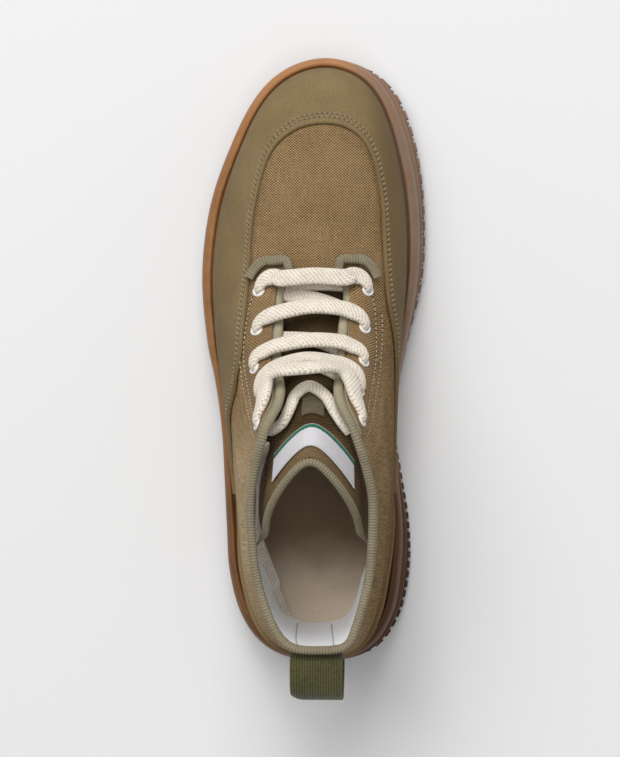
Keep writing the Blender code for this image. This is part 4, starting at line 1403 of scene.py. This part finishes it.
def tongue_point(along, across):
    """Point of the tongue's front face by row of its table and by side, from -1 to 1."""
    row = MM * rows_at(np.array(TONGUE, float), along)
    turn = np.asarray(across) * pi / 2
    fall = 1 - np.cos(turn)
    x = TONGUE_CENTRE + row[..., 2] * np.sin(turn)
    return np.stack([x, row[..., 0] - row[..., 3] * peaked(fall), row[..., 1] - row[..., 4] * fall], axis=-1)


def tongue_normal(along, across):
    low, high = np.maximum(along - STATION_STEP, 0), np.minimum(along + STATION_STEP, TONGUE_TOP)
    up = tongue_point(high, across) - tongue_point(low, across)
    aside = tongue_point(along, across + STATION_STEP) - tongue_point(along, across - STATION_STEP)
    return unit(np.cross(up, aside))


def over_tongue(along, across, lift):
    """Places over the tongue and directions out of it."""
    along, across = np.broadcast_arrays(np.asarray(along, float), np.asarray(across, float))
    normal = tongue_normal(along, across)
    places = tongue_point(along, across) + normal * np.asarray(lift)[..., None]
    return np.concatenate([places, normal], axis=-1)


def tongue_patch(look, rows, sides, lifts, slant=0.0, turned=False):
    """Cloth over part of the tongue, with its front and back heights; a slant lifts its two ends."""
    piece = Piece(look)
    count = lifts[0].shape
    across = np.linspace(*sides, count[1])[None]
    bend = np.hypot(across - sum(sides) / 2, LABEL_BEND) - LABEL_BEND
    along = np.linspace(*rows, count[0])[:, None] + slant * bend
    front, back = (over_tongue(along, across, np.broadcast_to(lift, count))[..., :3] for lift in lifts)
    upward = travel(front[:, count[1] // 2])[:, None] / MM
    aside = travel(front[count[0] // 2])[None] / MM
    piece.slab(front, back, cloth_grid(upward, aside) if turned else cloth_grid(aside, upward))
    return piece


def make_tongue():
    along = np.linspace(0, TONGUE_TOP, TONGUE_GRID[0])[:, None]
    across = np.linspace(-1, 1, TONGUE_GRID[1])[None]
    pad = TONGUE_PAD * np.sin(along * 2.4) * np.cos(across * 1.4)
    seam = TONGUE_SEAM_DEPTH * np.exp(-(((along - TONGUE_SEAM) / TONGUE_SEAM_WIDTH) ** 2))
    piece = tongue_patch("tongue", (0, TONGUE_TOP), (-1, 1), (pad - seam, -TONGUE_THICKNESS))
    return piece.done("padded_tongue", ["tongue"], "tongue_canvas")


def make_label():
    along = np.linspace(-1, 1, LABEL_GRID[0])[:, None]
    across = np.linspace(-1, 1, LABEL_GRID[1])[None]
    curl = LABEL_LIFT + LABEL_CURL[0] * across**4 + LABEL_CURL[1] * along**4
    piece = tongue_patch("label", LABEL_ROWS, LABEL_SIDES, (curl + LABEL_THICKNESS, curl), LABEL_SLANT)
    return piece.done("bare_label", ["tongue_label"], "bare_label")


def make_tab():
    turns = np.linspace(0, 1, TAB_GRID[0])[:, None] * TAB_RIBS
    ribs = np.sin(turns * 2 * pi) * np.ones(TAB_GRID[1])
    lifts = (TAB_LIFT + TAB_RIB_DEPTH * ribs, TAB_BACK)
    piece = tongue_patch("tab", TAB_ROWS, TAB_SIDES, lifts, turned=True)
    return piece.done("tongue_tab", slot="ribbed_tape")


def tongue_edge():
    """Line of the tape along the tongue's top edge, with its tucked ends."""
    across = np.linspace(-1, 1, TONGUE_EDGE_POINTS)
    top = np.full_like(across, TONGUE_TOP)
    front = tongue_point(top, across)
    up = unit(front - tongue_point(top - STATION_STEP, across))
    normal = tongue_normal(top, across)
    middle = front - normal * TONGUE_THICKNESS / 2
    line = np.concatenate([middle + up * (TONGUE_BINDING_RADIUS - EDGE_WRAP), normal], axis=-1)
    tucked = line[[0, -1]]
    tucked[:, :3] += np.array(TAPE_TUCK) * MM
    whole = even_line(np.vstack([tucked[:1], line, tucked[1:]]), TUCKED_EDGE_POINTS)
    return eased(whole, TUCKED_EDGE_EASING)


# Eyelets and lace


def eyelet_stations():
    fine = np.linspace(LOWEST_EYELET, TOP_EYELET, THROAT_POINTS)
    travelled = travel(wall(fine, np.ones_like(fine)))
    return np.interp(np.linspace(0, travelled[-1], EYELET_PAIRS), travelled, fine)


EYELETS = eyelet_stations()


def make_eyelets():
    piece = Piece("enamel", "hole")
    turn = np.linspace(0, 2 * pi, EYELET_TURNS + 1)[:, None]
    names = []
    for level, station in enumerate(EYELETS, start=1):
        for side in SIDES:
            names.append(f"eyelet_{side}_{level}")
            place = walk(on_side(station, side == "medial"), EYELET_INSET)
            centre, normal = np.split(over_wall(*place, EYELET_BASE), 2)
            across = unit(np.cross(normal, [0.0, 1.0, 0.3]))
            spoke = across * np.cos(turn) + np.cross(normal, across) * np.sin(turn)
            rings = [centre + spoke * step.radius * MM + normal * step.height * MM for step in EYELET_SECTION]
            # A dark disc of painted shade stands for the shaded inside of the hole.
            disc = [centre + spoke * radius - normal * EYELET_DISC_DEPTH for radius in (EYELET_DISC, 0.0)]
            for look, grid in (("enamel", rings), ("hole", disc)):
                piece.grid(np.array(grid), np.zeros(2), look)
    return piece.done("eyelets", names, "eyelet_metal")


def bar_side(station, medial, bar):
    """Lace out of an eyelet, over the facing and the binding: places and directions out of it."""
    eyelet = walk(on_side(station, medial), EYELET_INSET)
    line = [over_wall(*eyelet, EYELET_BASE + height) for height in BAR_IN_HOLE]
    rise = bar.rise * MM
    for step in BAR_WAY:
        inset = EYELET_INSET * bar.tuck * step.tuck
        place = walk(on_side(station + bar.ahead * step.lead, medial), inset)
        line.append(over_wall(*place, EYELET_BASE + step.height * MM + rise * step.rise))
    edge = on_side(station + bar.ahead, medial)
    over = over_wall(edge, np.ones_like(edge), 2 * BINDING_RADIUS + CLEARANCE + LACE_THICKNESS / 2 + rise)
    over[:3] += edge_out(edge) * BINDING_RADIUS
    return line + [over]


def bar_line(station, bar):
    near = bar_side(station, False, bar)
    far = bar_side(station, True, bar)
    centre = (near[-1] + far[-1]) / 2
    out = unit(centre[3:])
    ahead = np.cross(unit(far[-1][:3] - near[-1][:3]), out)
    centre[:3] += out * (BAR_CROWN + bar.lift) * MM - ahead * bar.bow * MM
    return eased(even_line([*near, centre, *far[::-1]], BAR_POINTS), BAR_EASING)


def lace_size(line):
    """Width and thickness of a run that bunches at both ends."""
    way = smooth(from_ends(line) / LACE_TAPER)
    width = LACE_BUNCH_WIDTH + (LACE_WIDTH - LACE_BUNCH_WIDTH) * way
    return width, LACE_BUNCH_THICKNESS + (LACE_THICKNESS - LACE_BUNCH_THICKNESS) * way


def make_lace():
    piece = Piece("lace")
    for bar, station in zip(BARS, EYELETS):
        line = bar_line(station, bar)
        piece.sweep(line, *lace_size(line), power=0.8)
    way = np.linspace(0, 1, INNER_RUN_STEPS)
    for run in INNER_RUNS:
        side = run.side + (run.to_side - run.side) * way
        row = run.row + (run.to_row - run.row) * way
        line = even_line(over_tongue(row, side, INNER_RUN_LIFT), INNER_RUN_POINTS)
        piece.sweep(line, *INNER_RUN_SIZE)
    side, row = np.array(ARCH).T
    line = even_line(over_tongue(row, side, ARCH_LIFT), ARCH_POINTS)
    piece.sweep(line, ARCH_WIDTH, LACE_THICKNESS, power=0.85)
    nodes = [f"lace_bar_{level}" for level in range(1, EYELET_PAIRS + 1)] + ["lace_inner_run"]
    return piece.done("woven_lace", nodes, "lace_cotton")


def make_lace_end():
    """The tucked end: flat against the outer wall, then flat along the footbed."""
    piece = Piece("lace")
    places = np.array([(point.x, point.y, point.z) for point in LACE_END]) * MM
    faces = unit(np.array([point.face for point in LACE_END], float))
    line = even_line(np.column_stack([places, faces]), LACE_END_POINTS)
    far = travel(line)
    full_from, exit_width = LACE_EXIT
    steps = [0, full_from] + [far[-1] - before for before, _ in LACE_TIP]
    widths = [exit_width, LACE_END_WIDTH] + [width for _, width in LACE_TIP]
    piece.sweep(line, np.interp(far, steps, widths), LACE_END_THICKNESS)
    made = piece.done("lace_end", ["lace_end_lateral"], "lace_cotton")
    return made


# Pull loop


def make_loop():
    piece = Piece("webbing")
    rows = np.array([(0.0, point.y, point.z) for point in PULL_LOOP]) * MM
    line = even_line(rows, LOOP_POINTS, periodic=True)
    along = np.roll(line[:-1], -1, axis=0) - np.roll(line[:-1], 1, axis=0)
    along = unit(np.concatenate([along, along[:1]]))
    out = np.cross(along, [1.0, 0.0, 0.0])[:, None]
    across = np.linspace(-1, 1, LOOP_COLUMNS)
    ribs = LOOP_RIB_DEPTH * np.sin(across * LOOP_WIDTH / LOOP_RIB_PITCH * pi)
    deep = LOOP_THICKNESS / 2 * np.clip((1 - np.abs(across)) / LOOP_EDGE, LOOP_EDGE_THICKNESS, 1.0)
    sides = across * LOOP_WIDTH / 2
    middle = np.broadcast_to(line[:, None], (LOOP_POINTS, LOOP_COLUMNS, 3)).copy()
    middle[..., 0] += LOOP_CENTRE + sides
    rear = np.clip((LOOP_DENT_START - line[:, 1]) / LOOP_DENT_FADE, 0, 1)[:, None]
    middle[..., 1] += LOOP_DENT * rear * np.clip(-across * 2 - 1, 0, 1) ** 2
    front, back = (middle + out * height[:, None] for height in (ribs + deep, ribs - deep))
    cloth = cloth_grid(travel(line)[:, None] / MM, sides[None] / MM)
    piece.grid(front, cloth)
    piece.grid(back, cloth)
    for end in (0, -1):
        piece.rim(front[:, end], back[:, end], cloth[:, end])
    return piece.done("pull_loop_webbing", ["pull_loop"], "loop_webbing")


# Sewing


def stitch_shape():
    """A short run of thread that dips into the cloth at both ends."""
    way = np.linspace(-1, 1, STITCH_RINGS)[:, None]
    turn = np.linspace(0, 2 * pi, STITCH_SIDES, endpoint=False)
    thick = THREAD / 2 * np.sqrt(np.maximum(1 - way**6, 0.02))
    lift = THREAD * (0.45 - 0.95 * way**4)
    axes = np.broadcast_arrays(way * STITCH_LENGTH / 2, thick * np.cos(turn), lift + thick * np.sin(turn))
    index = np.arange(STITCH_RINGS * STITCH_SIDES).reshape(STITCH_RINGS, STITCH_SIDES)
    after = np.roll(index, -1, axis=1)
    faces = np.stack([index[:-1], after[:-1], after[1:], index[1:]], axis=-1).reshape(-1, 4)
    caps = [ring[list(four)] for ring in (index[0], index[-1]) for four in ((0, 1, 2, 3), (0, 3, 4, 5))]
    return np.stack(axes, axis=-1).reshape(-1, 3), np.concatenate([faces, caps])


def hole_shape():
    """A flat dark eye of painted shade where the needle went in."""
    turn = np.linspace(0, 2 * pi, NEEDLE_HOLE_SIDES, endpoint=False)
    x, y = NEEDLE_HOLE[0] * np.cos(turn), NEEDLE_HOLE[1] * np.sin(turn)
    faces = np.array([(0, 1, 2, 3), (0, 3, 4, 7), (4, 5, 6, 7)])
    return np.column_stack([x, y, np.full(NEEDLE_HOLE_SIDES, NEEDLE_HOLE_LIFT)]), faces


STITCH = stitch_shape()
HOLE = hole_shape()


def stitch_row(piece, line, look=None, pitch=STITCH_PITCH):
    """Stitches at even steps along a line of places and of directions out of the cloth."""
    count = max(int(round(travel(line)[-1] / pitch)), 2)
    fine = even_line(line, 2 * count + 1)
    along = unit(np.gradient(fine[:, :3], axis=0))
    across = unit(np.cross(fine[:, 3:6], along))
    axes = np.stack([along, across, np.cross(along, across)], axis=1)
    piece.stamp(*STITCH, fine[1::2, :3], axes[1::2], look)
    piece.stamp(*HOLE, fine[0::2, :3], axes[0::2], "hole")


def panel_stitches(piece, first, last, ends=None, look=None):
    station = np.linspace(first, last, int((last - first) * PANEL_LINE_POINTS))
    for distance in STITCH_ROWS:
        lift = np.interp(distance, *np.array(ROLLED_EDGE).T) * MM
        stitch_row(piece, over_wall(station, lip_share(station, distance, ends), lift), look)


def facing_stitches(piece, medial, row):
    station = np.linspace(row.first, row.last, SEAM_POINTS)
    beyond = row.beyond * MM
    places = walk(on_side(station, medial), facing_depth(station) + beyond)
    lift = facing_lift(max(-beyond, 0.0)) + FACING_STITCH_LIFT
    stitch_row(piece, over_wall(*places, lift), "pale_thread")


def make_stitches():
    piece = Piece("thread", "pale_thread", "hole")
    guard_first = GUARD_END + GUARD_SEAM_INSET
    counter_last = COUNTER_END - COUNTER_SEAM_INSET
    panel_stitches(piece, guard_first, AROUND - guard_first)
    panel_stitches(piece, -counter_last, counter_last, COUNTER_END, "pale_thread")
    for medial in (False, True):
        for row in FACING_STITCHES:
            facing_stitches(piece, medial, row)
    return piece.done("seam_stitches")


def make_lining_seams():
    """Fine upright seams in the lining at the heel."""
    piece = Piece("grey_thread", "hole")
    shares = np.linspace(*LINING_SEAM_SHARES, SEAM_POINTS)
    for station in LINING_SEAMS:
        stations = np.full_like(shares, station)
        line = over_wall(stations, shares, -WALL - heel_pad(stations, shares) - LINING_SEAM_LIFT)
        line[:, 3:] *= -1
        stitch_row(piece, line, pitch=LINING_PITCH)
    return piece.done("lining_seams")


make_rim()
make_tread()
make_footbed()
make_upper()
make_panel("toe_guard", "mudguard", GUARD_END, AROUND - GUARD_END)
make_panel("heel_panel", "heel_counter", -COUNTER_END, COUNTER_END, COUNTER_END)
for each_side in SIDES:
    make_facing(each_side)
ribbed_cord("collar_tape", "collar_binding", binding_rows(), BINDING_RADIUS, flat_ends=FLAT_ENDS)
make_tongue()
ribbed_cord("tongue_tape", "tongue_binding", tongue_edge(), TONGUE_BINDING_RADIUS, thin_ends=THIN_ENDS)
make_label()
make_tab()
make_eyelets()
make_lace()
make_lace_end()
make_loop()
make_stitches()
make_lining_seams()


# Floor, light and camera

FLOOR_REACH = 4.0
LAMPS = table(
    "name place size power",
    ("key", (-0.85, 1.20, 2.90), 2.0, 50.0),
    ("toe", (-0.10, 1.90, 2.45), 1.2, 40.0),
    ("top", (0.2, -0.5, 2.9), 1.4, 16.0),
    ("right", (1.9, 0.8, 1.0), 1.2, 1.5),
)
LAMP_AIM = (0, 0, 0.05)
SKY = 0.27
CAMERA = (0.0565, -0.00455, 1.5)
AIM = (0.0, -0.00455, 0.06)
LENS = 170.7
SENSOR = 36.0


def place_object(name, data, location=(0, 0, 0)):
    made = bpy.data.objects.new(name, data)
    made.location = location
    bpy.context.scene.collection.objects.link(made)
    return made


def make_stage():
    mesh = bpy.data.meshes.new("floor")
    corners = [(x * FLOOR_REACH, y * FLOOR_REACH, 0) for x, y in ((-1, -1), (1, -1), (1, 1), (-1, 1))]
    mesh.from_pydata(corners, [], [(0, 1, 2, 3)])
    mesh.materials.append(LOOKS["floor"])
    floor = place_object("floor", mesh)


def make_light():
    for lamp in LAMPS:
        data = bpy.data.lights.new(lamp.name, "AREA")
        data.size = lamp.size
        data.energy = lamp.power
        made = place_object(lamp.name, data, lamp.place)
        made.rotation_euler = (Vector(LAMP_AIM) - made.location).to_track_quat("-Z", "Y").to_euler()
    world = bpy.data.worlds.new("soft room")
    world.use_nodes = True
    sky = world.node_tree.nodes["Background"]
    sky.inputs["Color"].default_value = (1.0, 1.0, 1.0, 1.0)
    sky.inputs["Strength"].default_value = SKY
    bpy.context.scene.world = world


def make_camera():
    data = bpy.data.cameras.new("camera")
    data.lens = LENS
    data.sensor_fit = "HORIZONTAL"
    data.sensor_width = SENSOR
    made = place_object("camera", data, CAMERA)
    back = (Vector(CAMERA) - Vector(AIM)).normalized()
    right = Vector((0.0, 1.0, 0.0)).cross(back).normalized()
    made.rotation_euler = Matrix((right, back.cross(right), back)).transposed().to_euler()
    bpy.context.scene.camera = made


make_stage()
make_light()
make_camera()
bpy.context.scene.view_settings.view_transform = "Standard"
